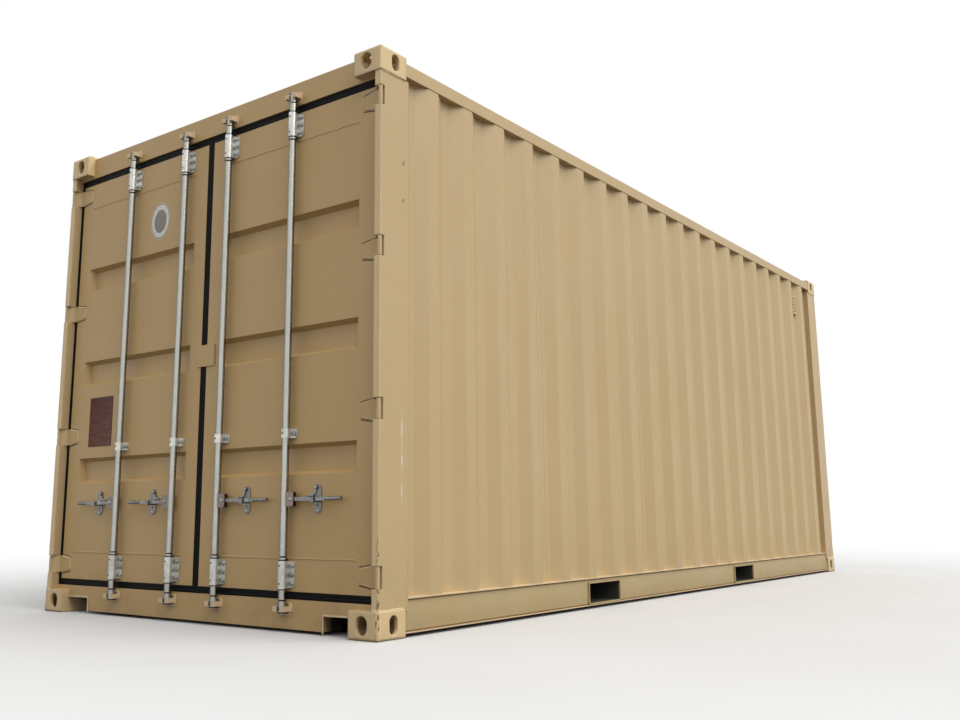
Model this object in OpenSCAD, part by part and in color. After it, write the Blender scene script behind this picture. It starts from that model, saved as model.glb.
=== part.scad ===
// Twenty-foot dry freight container with a pair of doors at both ends.
// Millimetres. Origin at the middle of the base, +X along the length to the
// front end, +Y to the left as seen from the rear, +Z up.
// Each end is drawn once, with x running inwards from the corner castings' end
// face, and is turned half round for the front end.

/* [Overall] */
// Length over the corner castings
length = 6058; // [5400:1:7200]
// Width over the corner castings
width = 2438; // [2380:1:2500]
// Height over the corner castings
height = 2591; // [2520:1:2900]

/* [Corner castings] */
// Casting size along the container
casting_l = 178; // [170:1:190]
// Casting size across the container
casting_w = 162; // [156:1:172]
// Casting height
casting_h = 118; // [112:1:124]
// Wall of the casting round its hollow
casting_wall = 20; // [12:1:24]
// Rounding of the casting's outer edges
casting_r = 12; // [6:1:16]
// Height of the stadium holes in the side and end faces
casting_hole_h = 79; // [60:1:84]
// Width of the side face's hole
side_hole_w = 51; // [40:1:58]
// Width of the end face's hole
end_hole_w = 63; // [50:1:66]
// Length of the twist lock hole in the top or bottom face
lock_hole_l = 124; // [110:1:128]
// Width of the twist lock hole
lock_hole_w = 63; // [56:1:66]
// Distance of the twist lock hole from the end face
lock_hole_x = 101; // [98:1:104]
// Distance of the twist lock hole from the side face
lock_hole_y = 89; // [84:1:92]

/* [Corner posts] */
// Post depth along the container, from the castings' end face
post_depth = 200; // [186:1:230]
// How far the post's front stands behind the castings' end face
post_front = 6; // [2:1:8]
// How far the post's side stands inside the castings' side face
post_side = 5; // [3:1:8]
// Plate thickness of the post
post_wall = 8; // [5:1:9]

/* [Door opening] */
// Width of a post, from the castings' side face to the door opening
post_w = 47.5; // [44:0.5:56]
// Height of the header, from its top down to the lip over the opening
header_h = 130; // [120:1:160]
// Height of the floor and of the sill's step
floor_top = 167; // [160:1:175]
// Distance of the doors' stop from the castings' end face
stop_depth = 108; // [105:1:116]
// Set-back of the posts' faces beside the doors behind the clear width
side_seat = 8.5; // [6:0.5:12]

/* [Header and sill] */
// Distance of the header's and sill's face from the castings' end face
beam_face = 45; // [42:1:48]
// Depth of the header and sill to their inner edge
beam_depth = 165; // [150:1:176]
// Gap between the header's top and the castings' top
header_drop = 14; // [10:1:20]
// Set-back of the header and sill in front of the doors' stop
beam_step_top = 12; // [8:1:14]
// Height of the sill's front step
sill_front_top = 141; // [130:1:150]
// Underside of the sill above the castings' base
sill_bottom = 15; // [12:1:22]
// Plate thickness of the header and sill
beam_wall = 5; // [3:1:8]
// Width of the notch in the sill beside each casting
sill_notch_w = 188; // [120:1:200]
// Height of the top of that notch above the base
sill_notch_top = 81; // [60:1:95]
// Thickness of the plates that line the notch
notch_t = 6; // [4:1:8]
// How far the lining stands proud of the sill's face
notch_proud = 4; // [2:1:6]

/* [Side rails] */
// Height of the top side rail tube
top_rail_h = 60; // [50:1:70]
// Width of the top side rail tube
top_rail_w = 60; // [50:1:70]
// Gap between the top rail's top and the castings' top
top_rail_drop = 34; // [30:1:40]
// Set-back of both rails inside the castings' side face
rail_side = 3; // [1:1:5]
// Plate thickness of the rails
rail_wall = 4; // [3:1:6]
// Underside of the bottom rail above the base
rail_bottom = 18; // [14:1:22]
// Top of the bottom rail
rail_top = 162; // [155:1:170]
// Width of the bottom rail's top flange
rail_flange = 48; // [40:1:54]

/* [Side walls] */
// Distance from one corrugation to the next
wall_pitch = 278; // [250:1:300]
// Flat on the outer side of a corrugation
wall_flat = 72; // [60:1:90]
// Run of the slope between the outer and inner flats
wall_slope = 68; // [50:1:75]
// Depth of the corrugation
wall_depth = 36; // [25:1:38]
// Sheet thickness of the side walls
wall_t = 2; // [1.6:0.1:3]
// Set-back of the outer flats inside the castings' side face
wall_side = 6; // [5:1:9]

/* [Ventilators] */
// Height of a ventilator
vent_h = 170; // [140:1:200]
// Width of a ventilator
vent_w = 92; // [76:1:96]
// Depth of a ventilator from the side sheet
vent_d = 22; // [16:1:28]
// Sheet thickness of a ventilator
vent_t = 2; // [1.5:0.5:3]
// Width of a ventilator's back, on the inner flat of the sheet
vent_back = 66; // [60:1:70]
// Number of louvre slots
vent_slots = 5; // [3:1:7]
// Height of a louvre slot
vent_slot_h = 7; // [4:1:9]
// Distance of a ventilator's middle below the castings' top
vent_drop = 286; // [260:1:400]
// Corrugations from the end of a wall to its ventilator
vent_bay = 1; // [1:1:4]

/* [Roof] */
// Number of raised pans along the roof
roof_pans = 25; // [15:1:30]
// Height of a roof pan
roof_rise = 18; // [12:1:20]
// Flat strip between two pans
roof_gap = 96; // [80:1:110]
// Run of a pan's slopes
roof_slope = 22; // [15:1:30]
// Sheet thickness of the roof
roof_t = 2; // [1.6:0.1:3]
// Flat margin along each side of the roof
roof_margin = 96; // [70:1:140]

/* [Base] */
// Thickness of the plywood floor
floor_t = 28; // [24:1:30]
// Spacing of the cross members under the floor
cross_pitch = 274; // [240:1:400]
// Width of a cross member's flanges
cross_flange = 45; // [40:1:60]
// Plate thickness of a cross member
cross_t = 4; // [3:1:6]
// Inner width of a forklift pocket
pocket_w = 346; // [300:1:380]
// Inner height of a forklift pocket
pocket_h = 104; // [95:1:108]
// Bottom of a forklift pocket above the base
pocket_z = 30; // [26:1:32]
// Middle of the rear forklift pocket
pocket_rear = -1123; // [-1300:1:-950]
// Middle of the front forklift pocket
pocket_front = 932; // [850:1:1300]
// Plate thickness of a forklift pocket
pocket_t = 5; // [4:1:8]
// Length of the plate that closes a pocket's bottom at each side
pocket_plate = 260; // [150:1:400]

/* [Door leaves] */
// Gap between the two leaves
centre_gap = 46; // [30:1:60]
// Gap between a leaf's side and the post
leaf_side_gap = 29; // [24:1:34]
// Gap between a leaf's top and the header
leaf_top_gap = 38; // [30:1:42]
// Gap between a leaf's bottom and the sill's front step
leaf_bottom_gap = 34; // [28:1:40]
// Distance of a leaf's face from the castings' end face
leaf_face = 52; // [51:1:56]
// Thickness of a leaf
leaf_t = 50; // [44:1:50]
// Width of the frame tube on the hinge side
leaf_hinge_tube = 100; // [80:1:110]
// Width of the frame tube on the closing side
leaf_lock_tube = 88; // [70:1:100]
// Height of the top and bottom frame tubes
leaf_cross_tube = 143; // [120:1:150]
// Wall of the frame tubes
leaf_tube_t = 4; // [3:1:6]
// Sheet thickness of the door panel
panel_t = 2; // [1.6:0.1:3]
// Height of a recessed channel in the panel
channel_h = 141; // [100:1:160]
// Run of the channel's slopes
channel_slope = 19; // [12:1:30]
// Depth of a channel
channel_depth = 36; // [20:1:38]
// Distance between two channels
channel_pitch = 542; // [450:1:560]
// Width of the plate that laps over the other leaf
lap_w = 128; // [110:1:150]
// Height of the lap plate
lap_h = 110; // [80:1:140]
// How far the lap plate reaches past the leaves' middle
lap_past = 41; // [36:1:44]
// Thickness of the lap plate
lap_t = 6; // [4:1:8]

/* [Hinges] */
// Distance of the hinge pin behind the castings' end face
pin_x = 15.5; // [15:0.5:16.5]
// Distance of the hinge pin inside the castings' side face
pin_y = 14.5; // [14.5:0.5:16]
// Radius of the hinge pin
pin_r = 6; // [5:0.5:6.5]
// Depth of the pin's ends in the post
pin_seat = 4; // [2:1:8]
// Radial running clearance on the hinge pin
pin_clear = 0.08; // [0.05:0.01:0.1]
// Radius of the hinge knuckle
knuckle_r = 10; // [9:0.5:10.5]
// Height of the hinge knuckle
knuckle_h = 88; // [80:1:100]
// Height of the blade at its tip
blade_tip_h = 60; // [40:1:75]
// Thickness of the hinge blade
blade_t = 8; // [6:1:9]
// Distance of the blade's shoulders outside the leaf's edge
blade_shoulder = 4; // [2:1:8]
// Length of the blade on the leaf
blade_l = 77; // [60:1:95]
// Gap between the knuckle's ends and the post's notch
knuckle_gap = 2; // [1:0.5:4]
// Gap between the hinge strap and the notch's back wall
strap_gap = 3; // [2.5:0.5:4]
// Depth of the notch on the post's side face
notch_depth = 33.5; // [32:0.5:36]
// Height of the lowest hinge
hinge_z = 252; // [240:1:270]
// Distance of the top hinge below the castings' top
hinge_drop = 237; // [230:1:260]
// Distance from an outer hinge to the inner hinge beside it
hinge_step = 696; // [650:1:720]

/* [Lock rods] */
// Radius of a lock rod
rod_r = 17; // [15:0.5:17]
// Wall of the lock rod's tube
rod_wall = 3; // [2:0.5:5]
// Length of the plug that closes the lock rod's upper end
rod_plug = 60; // [30:1:100]
// Distance of the rods' axes from the castings' end face
rod_x = 23; // [23:0.5:24]
// Distance of the inner rods from the container's middle
rod_y_in = 173; // [160:1:190]
// Distance of the outer rods from the container's middle
rod_y_out = 638; // [600:1:660]
// Height of the lower cams
cam_z_low = 102; // [95:1:104]
// Distance of the upper cams from the castings' top
cam_drop = 94; // [84:1:96]
// Radius of the cam's flanges and lobes
cam_r = 20; // [19:0.5:20.5]
// Half width of the cam's lobes
cam_half = 11; // [8:0.5:11.5]
// Thickness of a cam flange
cam_flange = 5; // [3:0.5:7]
// How much larger than the rod the radius of its shanks beside the cams is
shank_step = 0.5; // [0:0.25:0.5]
// Gap between the keeper and the cam's flanges
cam_gap = 3; // [2:0.5:4]
// Gap round the cam in the window of the keeper's foot
cam_play = 2; // [1:0.5:3]
// Height of a keeper
keeper_h = 22; // [16:1:24]
// Half width of the keeper's mouth
keeper_mouth = 14; // [13:0.5:15]
// Half width of the keeper's hollow
keeper_hollow = 26; // [24:0.5:28]
// Thickness of the keeper's side lugs
keeper_lug = 12; // [8:1:14]
// Thickness of the keeper's lips
keeper_lip = 5; // [4:0.5:5.5]
// Thickness of the keeper's foot on the beam
keeper_foot = 4; // [3:0.5:5]
// Width of the rims of the keeper's foot round the cam
keeper_rim = 8; // [6:1:12]
// Reach of the keeper's foot past its lugs
keeper_toe = 4; // [3:1:6]
// Cut off the corners of the keeper's foot
keeper_cut = 10; // [6:1:12]
// Distance of the lips' front from the castings' end face
keeper_front = 1; // [0.5:0.5:1.5]

/* [Rod brackets] */
// Radial clearance of a rod in its brackets
rod_clear = 0.1; // [0.05:0.01:0.1]
// Outer radius of a bracket's sleeve
sleeve_r = 21.5; // [20:0.5:22]
// Length of the top and bottom brackets' sleeves
bracket_h = 132; // [110:1:136]
// How much shorter a bracket's flange is than its sleeve, at each end
bracket_step = 9; // [0:1:12]
// Reach of a bracket's flange past the rod's axis
bracket_reach = 50; // [44:1:60]
// Reach of a bracket's flange on the other side
bracket_back = 46; // [40:1:60]
// Thickness of a bracket's flange
bracket_t = 6; // [4:1:8]
// Cut off a bracket's corners
bracket_cut = 9; // [4:1:9]
// Distance of the top bracket's middle below the castings' top
bracket_top_drop = 236; // [236:1:260]
// Height of the bottom bracket's middle
bracket_low_z = 248; // [245:1:262]
// Height of the middle bracket
bracket_mid_z = 873; // [850:1:900]
// Length of the middle bracket
bracket_mid_h = 42; // [36:1:50]
// Radius of the collars on the rod
collar_r = 20.5; // [19:0.5:21]
// Height of a collar
collar_h = 8; // [5:1:12]
// Gap between a collar and its bracket
collar_gap = 0.3; // [0.2:0.1:1]

/* [Handles] */
// Height of the handles
handle_z = 578; // [560:1:600]
// Distance of the handle's rivet from the rod's axis
rivet_y = 46; // [42:1:50]
// Reach of a handle past the rod's axis
handle_l = 350; // [320:1:370]
// Height of the handle's bar
bar_h = 16; // [12:1:16]
// Depth of the handle's bar
bar_d = 15; // [12:1:15]
// Length of the handle's round grip
grip_l = 108; // [90:1:130]
// Radius of the grip
grip_r = 8; // [7:0.5:9]
// Number of rings round the grip
grip_rings = 5; // [3:1:7]
// Cut off the hub plates' corners
hub_cut = 7; // [3:1:10]
// Gap between the hub's corners and the thick part of the handle as it lifts
neck_gap = 2; // [1:0.5:4]
// Height of the handle's eye between the hub's plates
eye_h = 34; // [28:1:40]
// Thickness of the handle's eye
eye_t = 10; // [8:1:11]
// Height of the hub's plates
hub_h = 64; // [50:1:70]
// Reach of the hub's plates past the rod's axis
hub_l = 66; // [62:1:74]
// Thickness of the hub's plates
hub_t = 5; // [4:1:6]
// Gap between the handle's eye and each hub plate
eye_gap = 0.5; // [0.3:0.1:1]
// Radius of the handle's rivet
rivet_r = 6; // [5:0.5:7]
// Radial running clearance on the rivet
rivet_clear = 0.08; // [0.05:0.01:0.1]

/* [Handle catches] */
// Distance of a catch from its rod's axis
catch_y = 184; // [170:1:200]
// Width of the catch's plate
catch_w = 46; // [40:1:52]
// Height of the catch's plate
catch_h = 128; // [115:1:135]
// Thickness of the catch's plate
catch_t = 4; // [3:0.5:5]
// Gap between the handle and the catch's hook
hook_gap = 2; // [1:0.5:3]
// Thickness of the catch's hook
hook_t = 5; // [4:1:6]
// Distance of the seal hole below the handle
seal_drop = 28; // [24:1:34]
// Radius of the seal hole
seal_r = 6; // [4:0.5:7]
// Thickness of the swivel flap
flap_t = 4; // [3:0.5:6]
// Width of the flap's curved arm
flap_w = 11; // [8:1:13]
// Length of the flap's nose that lies over the handle
flap_nose = 28; // [18:1:32]
// Height of the flap's pivot above the handle
flap_rise = 50; // [46:1:54]
// Distance of the flap's pivot from the catch's middle, towards the rod
flap_side = 8; // [4:1:9]
// Gap between the flap's nose and the handle
flap_gap = 1; // [0.5:0.5:2]
// Radius of the flap's eye
flap_eye_r = 9; // [8:0.5:10]
// Radius of the flap's pivot pin
flap_pin_r = 4.5; // [3.5:0.5:5]
// Radial running clearance on the flap's pin
flap_clear = 0.08; // [0.05:0.01:0.1]
// Thickness of the pin's head
pin_head_t = 3; // [2:0.5:4]
// Gap between the flap, its catch and the pin's head
flap_play = 0.3; // [0.2:0.1:0.5]

/* [Hidden] */
$fn = 48;
gasket_gap = 0.3;
half_l = length / 2;
half_w = width / 2;
open_y = half_w - post_w;
roof_z = height - top_rail_drop;
header_top = height - header_drop;
header_lip = header_top - header_h;
header_z = header_lip + beam_step_top;
cast_top_z = height - casting_h;
post_in = open_y + side_seat;
post_out = half_w - post_side;
pin_off = half_w - pin_y;
leaf_out = post_in - leaf_side_gap;
leaf_in = centre_gap / 2;
leaf_z0 = sill_front_top + leaf_bottom_gap;
leaf_z1 = header_z - leaf_top_gap;
leaf_back = leaf_face + leaf_t;
panel_y0 = leaf_in + leaf_lock_tube;
panel_y1 = leaf_out - leaf_hinge_tube;
panel_z0 = leaf_z0 + leaf_cross_tube;
panel_z1 = leaf_z1 - leaf_cross_tube;
panel_mid = (panel_z0 + panel_z1) / 2;
hinge_top = height - hinge_drop;
hinge_zs = [hinge_z, hinge_z + hinge_step, hinge_top - hinge_step, hinge_top];
cam_z_top = height - cam_drop;
bracket_top_z = height - bracket_top_drop;
cam_h = keeper_h / 2 + cam_gap + cam_flange;
rod_low = cam_z_low - cam_h;
rod_high = cam_z_top + cam_h;
wall_n = floor((length - 2 * post_depth - 40) / wall_pitch);
handle_x = rod_x;

// Places what is drawn for one end at the rear, or half turned at the front.
module at_rear() translate([-half_l, 0, 0]) children();
module at_front() rotate([0, 0, 180]) translate([-half_l, 0, 0]) children();
module both_sides() {
  children();
  mirror([0, 1, 0]) children();
}
module box(x0, x1, y0, y1, z0, z1)
  translate([x0, y0, z0]) cube([x1 - x0, y1 - y0, z1 - z0]);

// A stadium plate standing upright, drawn along its thickness.
module stadium(w, h, t) {
  linear_extrude(height = t) {
    translate([0, (h - w) / 2]) circle(d = w);
    translate([0, -(h - w) / 2]) circle(d = w);
    square([w, h - w], center = true);
  }
}

// Waste outside a rounded edge of radius r that runs along z.
module edge_waste(r, l) {
  difference() {
    translate([-1, -1, -1]) cube([r + 1, r + 1, l + 2]);
    translate([r, r, -2]) cylinder(r = r, h = l + 4);
  }
}

// Cast corner fitting with its three holes, outer corner at the origin.
module casting() {
  wall = casting_wall;
  difference() {
    cube([casting_l, casting_w, casting_h]);
    translate([wall, wall, wall])
      cube([casting_l - 2 * wall, casting_w - 2 * wall, casting_h - 2 * wall]);
    translate([lock_hole_x, lock_hole_y, -1]) rotate([0, 0, 90])
      stadium(lock_hole_w, lock_hole_l, wall + 2);
    translate([lock_hole_x, wall + 1, casting_h / 2]) rotate([90, 0, 0])
      stadium(side_hole_w, casting_hole_h, wall + 2);
    translate([-1, lock_hole_y, casting_h / 2]) rotate([90, 0, 90])
      stadium(end_hole_w, casting_hole_h, wall + 2);
    edge_waste(casting_r, casting_h);
    rotate([90, 0, 90]) edge_waste(casting_r, casting_l);
    rotate([-90, -90, 0]) edge_waste(casting_r, casting_w);
  }
}

module castings() {
  both_sides() translate([0, -half_w, 0]) {
    casting();
    translate([0, 0, height]) mirror([0, 0, 1]) casting();
  }
}

// Corner post with its hinge notches and pins, on the right of an end.
module post() {
  strap = (blade_t / 2 + strap_gap) * sqrt(2);
  bend_y = pin_x + strap + pin_off - notch_depth;
  back_x = pin_x + strap + pin_off - post_in + 3;
  difference() {
    translate([0, 0, casting_h]) linear_extrude(height = cast_top_z - casting_h)
      difference() {
        polygon([[post_front, -post_out], [post_depth, -post_out],
          [post_depth, -open_y], [stop_depth, -open_y],
          [stop_depth, -post_in], [post_front, -post_in]]);
        polygon([[back_x + post_wall, -post_out + post_wall],
          [post_depth - post_wall, -post_out + post_wall],
          [post_depth - post_wall, -post_in - post_wall],
          [back_x + post_wall, -post_in - post_wall]]);
      }
    for (z = hinge_zs)
      translate([0, 0, z - knuckle_h / 2 - knuckle_gap])
        linear_extrude(height = knuckle_h + 2 * knuckle_gap)
          polygon([[-5, -half_w - 9], [notch_depth, -half_w - 9],
            [notch_depth, -bend_y], [back_x, -post_in + 3], [-5, -post_in + 3]]);
  }
  for (z = hinge_zs)
    translate([pin_x, -pin_off, z - knuckle_h / 2 - knuckle_gap - pin_seat])
      cylinder(r = pin_r, h = knuckle_h + 2 * (knuckle_gap + pin_seat));
}

// Top beam of an end: a box between the castings, with a lip that stops the doors.
module header() {
  inner = half_w - casting_w;
  difference() {
    union() {
      box(beam_face, beam_depth, -inner, inner, header_lip, header_top);
      box(beam_face, stop_depth, -post_in, post_in, header_lip, cast_top_z);
      box(stop_depth, beam_depth, -open_y, open_y, header_lip, cast_top_z);
    }
    box(beam_face - 1, stop_depth, -half_w, half_w, header_lip - 1, header_z);
    box(beam_face + beam_wall, beam_depth - beam_wall, -inner - 1, inner + 1,
      cast_top_z, header_top - beam_wall);
  }
}

// Bottom beam of an end with the step below the doors and a lined notch by each casting.
module sill() {
  inner = half_w - casting_w;
  notch = inner - sill_notch_w;
  difference() {
    union() {
      box(beam_face, beam_depth, -inner, inner, sill_bottom, sill_front_top);
      box(beam_face, stop_depth, -post_in, post_in, casting_h, sill_front_top);
      box(stop_depth, beam_depth, -open_y, open_y, casting_h, floor_top);
      both_sides() box(beam_face - notch_proud, beam_depth, -inner, -notch + notch_t,
        sill_bottom, sill_notch_top + notch_t);
    }
    box(beam_face + beam_wall, beam_depth - beam_wall, -notch + notch_t, notch - notch_t,
      sill_bottom - 1, sill_front_top - beam_wall);
    both_sides() box(beam_face + beam_wall, beam_depth - beam_wall, -inner + beam_wall,
      -notch + notch_t + 1, sill_notch_top + notch_t, sill_front_top - beam_wall);
    both_sides() box(beam_face - 2 * notch_proud, beam_depth + 1, -inner - 1, -notch,
      sill_bottom - 1, sill_notch_top);
  }
}

module top_rails() {
  y1 = half_w - rail_side;
  both_sides() difference() {
    box(-half_l + casting_l, half_l - casting_l, -y1, -y1 + top_rail_w,
      roof_z - top_rail_h, roof_z);
    box(-half_l, half_l, -y1 + rail_wall, -y1 + top_rail_w - rail_wall,
      roof_z - top_rail_h + rail_wall, roof_z - rail_wall);
  }
}

// Bottom side rails, channels open to the outside, cut through for the forklift pockets.
module bottom_rails() {
  y1 = half_w - rail_side;
  web = -y1 + rail_flange - rail_wall;
  both_sides() difference() {
    union() {
      box(-half_l + casting_l, half_l - casting_l, -y1, -y1 + rail_flange,
        rail_bottom, casting_h);
      box(-half_l + post_depth, half_l - post_depth, -y1, -y1 + rail_flange,
        casting_h - 1, rail_top);
    }
    box(-half_l, half_l, -y1 - 1, web, rail_bottom + rail_wall, casting_h - rail_wall);
    box(-half_l + post_depth, half_l - post_depth, -y1 - 1, web,
      casting_h - rail_wall - 1, rail_top - rail_wall);
    for (x = [pocket_rear, pocket_front])
      box(x - pocket_w / 2 - pocket_t, x + pocket_w / 2 + pocket_t, -y1 - 1,
        -y1 + rail_flange + 1, pocket_z - pocket_t, pocket_z + pocket_h + pocket_t);
  }
}

// Forklift tunnels across the base, their bottoms closed only near the sides.
module forklift_pockets() {
  y1 = half_w - rail_side;
  for (x = [pocket_rear, pocket_front]) difference() {
    box(x - pocket_w / 2 - pocket_t, x + pocket_w / 2 + pocket_t, -y1, y1,
      pocket_z - pocket_t, pocket_z + pocket_h + pocket_t);
    box(x - pocket_w / 2, x + pocket_w / 2, -y1 - 1, y1 + 1, pocket_z,
      pocket_z + pocket_h);
    box(x - pocket_w / 2 - pocket_t - 1, x + pocket_w / 2 + pocket_t + 1,
      -y1 + pocket_plate, y1 - pocket_plate, pocket_z - pocket_t - 1, pocket_z);
  }
}

module cross_members() {
  y1 = half_w - rail_side - rail_flange;
  top = floor_top - floor_t;
  n = floor((length / 2 - beam_depth - cross_flange) / cross_pitch);
  for (i = [-n:n]) {
    x = i * cross_pitch;
    clear = min(abs(x - pocket_rear), abs(x - pocket_front));
    if (clear > pocket_w / 2 + pocket_t + cross_flange + 2)
      difference() {
        box(x - cross_flange / 2, x + cross_flange / 2, -y1, y1, rail_bottom + rail_wall,
          rail_top - rail_wall);
        box(x - cross_flange / 2 + cross_t, x + cross_flange, -y1 - 1, y1 + 1,
          rail_bottom + rail_wall + cross_t, top - cross_t);
        box(x - cross_flange, x + cross_flange, -y1 - 1, y1 + 1, top, rail_top);
      }
  }
}

module floor_boards() {
  y1 = min(open_y, half_w - rail_side - rail_flange) - 1;
  box(-half_l + beam_depth, half_l - beam_depth, -y1, y1, floor_top - floor_t, floor_top);
}

// Corrugated side sheet, outer flats towards -Y.
module wall() {
  y0 = -half_w + wall_side;
  run = wall_n * wall_pitch;
  end_x = half_l - post_depth;
  outer = [for (i = [0:wall_n - 1], k = [0:3])
    [-run / 2 + i * wall_pitch + wall_pitch / 2 + [-wall_flat / 2 - wall_slope,
      -wall_flat / 2, wall_flat / 2, wall_flat / 2 + wall_slope][k],
      (k == 1 || k == 2) ? 0 : wall_depth]];
  line = concat([[-end_x, wall_depth]], outer, [[end_x, wall_depth]]);
  last = len(line) - 1;
  back = [for (i = [0:last]) [line[last - i][0], line[last - i][1] + wall_t]];
  translate([0, y0, rail_top])
    linear_extrude(height = roof_z - top_rail_h - rail_top)
      polygon(concat(line, back));
}

// Louvred ventilators on an inner flat, on the right near the front and on the left
// near the rear.
module ventilators() {
  sheet_y = -half_w + wall_side + wall_depth;
  w = vent_w / 2;
  b = vent_back / 2;
  lean = (w - b) * wall_depth / wall_slope;
  pitch = vent_h / (vent_slots + 1);
  for (a = [0, 180]) rotate([0, 0, a])
    translate([(wall_n / 2 - vent_bay) * wall_pitch, sheet_y, height - vent_drop])
      difference() {
      translate([0, 0, -vent_h / 2]) linear_extrude(height = vent_h)
        polygon([[-b, 0], [-w, -2 * lean], [-w, -vent_d], [w, -vent_d], [w, -2 * lean], [b, 0]]);
      translate([0, 0, -vent_h / 2 + vent_t]) linear_extrude(height = vent_h - 2 * vent_t)
        polygon([[-b + vent_t, 1], [-b + vent_t, 0], [-w + vent_t, -2 * lean],
          [-w + vent_t, -vent_d + vent_t], [w - vent_t, -vent_d + vent_t],
          [w - vent_t, -2 * lean], [b - vent_t, 0], [b - vent_t, 1]]);
      for (i = [1:vent_slots])
        box(-b, b, -vent_d - 1, -vent_d + vent_t + 1, -vent_h / 2 + i * pitch - vent_slot_h / 2,
          -vent_h / 2 + i * pitch + vent_slot_h / 2);
    }
}

// Solid under the roof's outer skin, or under its inner skin with t taken off.
module roof_pans_solid(t) {
  x1 = half_l - beam_depth;
  pitch = 2 * x1 / roof_pans;
  half = (pitch - roof_gap) / 2;
  y1 = half_w - rail_side - roof_margin;
  top = roof_rise - t;
  intersection() {
    rotate([90, 0, 0]) linear_extrude(height = 2 * half_w, center = true)
      for (i = [0:roof_pans - 1])
        translate([-x1 + (i + 0.5) * pitch, 0])
          polygon([[-half + t, -t], [-half + roof_slope, top],
            [half - roof_slope, top], [half - t, -t]]);
    rotate([90, 0, 90]) linear_extrude(height = 2 * x1, center = true)
      polygon([[-y1 + t, -t], [-y1 + roof_slope, top], [y1 - roof_slope, top],
        [y1 - t, -t]]);
  }
}

module roof() {
  x1 = half_l - beam_depth;
  y1 = half_w - rail_side;
  translate([0, 0, roof_z]) difference() {
    union() {
      box(-x1, x1, -y1, y1, 0, roof_t);
      translate([0, 0, roof_t]) roof_pans_solid(0);
    }
    translate([0, 0, roof_t]) roof_pans_solid(roof_t);
    both_sides() for (s = [-1, 1])
      translate([s * half_l, -half_w, 0])
        cube([2 * casting_l, 2 * casting_w, 3 * roof_t], center = true);
  }
}

// Cam keeper: a welded foot round the cam, with two lugs that turn into lips.
module keeper(y, z) {
  h = keeper_h / 2;
  w = keeper_hollow + keeper_lug;
  foot_h = cam_h + cam_play + keeper_rim;
  foot_w = w + keeper_toe;
  flat_w = foot_w - keeper_cut;
  translate([0, y, z]) {
    difference() {
      translate([beam_face - keeper_foot, 0, 0]) rotate([90, 0, 90])
        linear_extrude(height = keeper_foot)
          polygon([[-foot_w, -h], [-flat_w, -foot_h], [flat_w, -foot_h], [foot_w, -h],
            [foot_w, h], [flat_w, foot_h], [-flat_w, foot_h], [-foot_w, h]]);
      box(0, beam_face + 1, -cam_r - cam_play, cam_r + cam_play, -foot_h + keeper_rim,
        foot_h - keeper_rim);
    }
    for (s = [-1, 1]) scale([1, s, 1]) {
      box(keeper_front, beam_face, keeper_hollow, w, -h, h);
      box(keeper_front, keeper_front + keeper_lip, keeper_mouth, w, -h, h);
    }
  }
}

module keepers()
  for (y = [-rod_y_out, -rod_y_in, rod_y_in, rod_y_out], z = [cam_z_low, cam_z_top])
    keeper(y, z);

// Hinge blade of the right leaf: knuckle round the pin, cranked strap, tapered pad.
module blade(z) {
  tip = -leaf_out + blade_l;
  d = blade_t / 2 * sqrt(2);
  pad_x = leaf_face - blade_t;
  front_y = -pin_off + (pad_x - pin_x) + d;
  back_y = -pin_off + (leaf_face - pin_x) - d;
  c = knuckle_h / 2;
  difference() {
    union() {
      translate([pin_x, -pin_off, z - c]) cylinder(r = knuckle_r, h = knuckle_h);
      intersection() {
        translate([0, 0, z - c]) linear_extrude(height = knuckle_h)
          polygon([[pin_x - d, -pin_off], [pad_x, front_y], [pad_x + blade_t / 2, tip],
            [leaf_face, tip], [leaf_face, back_y], [pin_x + d, -pin_off],
            [pin_x, -pin_off - d]]);
        rotate([90, 0, 90]) linear_extrude(height = leaf_face)
          polygon([[-half_w, z - c], [-leaf_out - blade_shoulder, z - c], [tip, z - blade_tip_h / 2],
            [tip, z + blade_tip_h / 2], [-leaf_out - blade_shoulder, z + c], [-half_w, z + c]]);
      }
    }
    translate([pin_x, -pin_off, z - c - 1])
      cylinder(r = pin_r + pin_clear, h = knuckle_h + 2);
  }
}

// Solid of the three recessed channels, t taken off for their inner skin.
module channels(t) {
  d = channel_depth - t;
  for (i = [-1:1]) intersection() {
    translate([leaf_face, 0, panel_mid + i * channel_pitch]) rotate([90, 0, 0])
      linear_extrude(height = leaf_out)
        polygon([[-1, channel_h / 2 - t + 1], [-1, -channel_h / 2 + t - 1],
          [0, -channel_h / 2 + t], [d, -channel_h / 2 + channel_slope],
          [d, channel_h / 2 - channel_slope], [0, channel_h / 2 - t]]);
    translate([leaf_face, 0, panel_z0]) linear_extrude(height = panel_z1 - panel_z0)
      polygon([[-1, -panel_y0 - t + 1], [0, -panel_y0 - t],
        [d, -panel_y0 - channel_slope], [d, -panel_y1 + channel_slope],
        [0, -panel_y1 + t], [-1, -panel_y1 + t - 1]]);
  }
}

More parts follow.
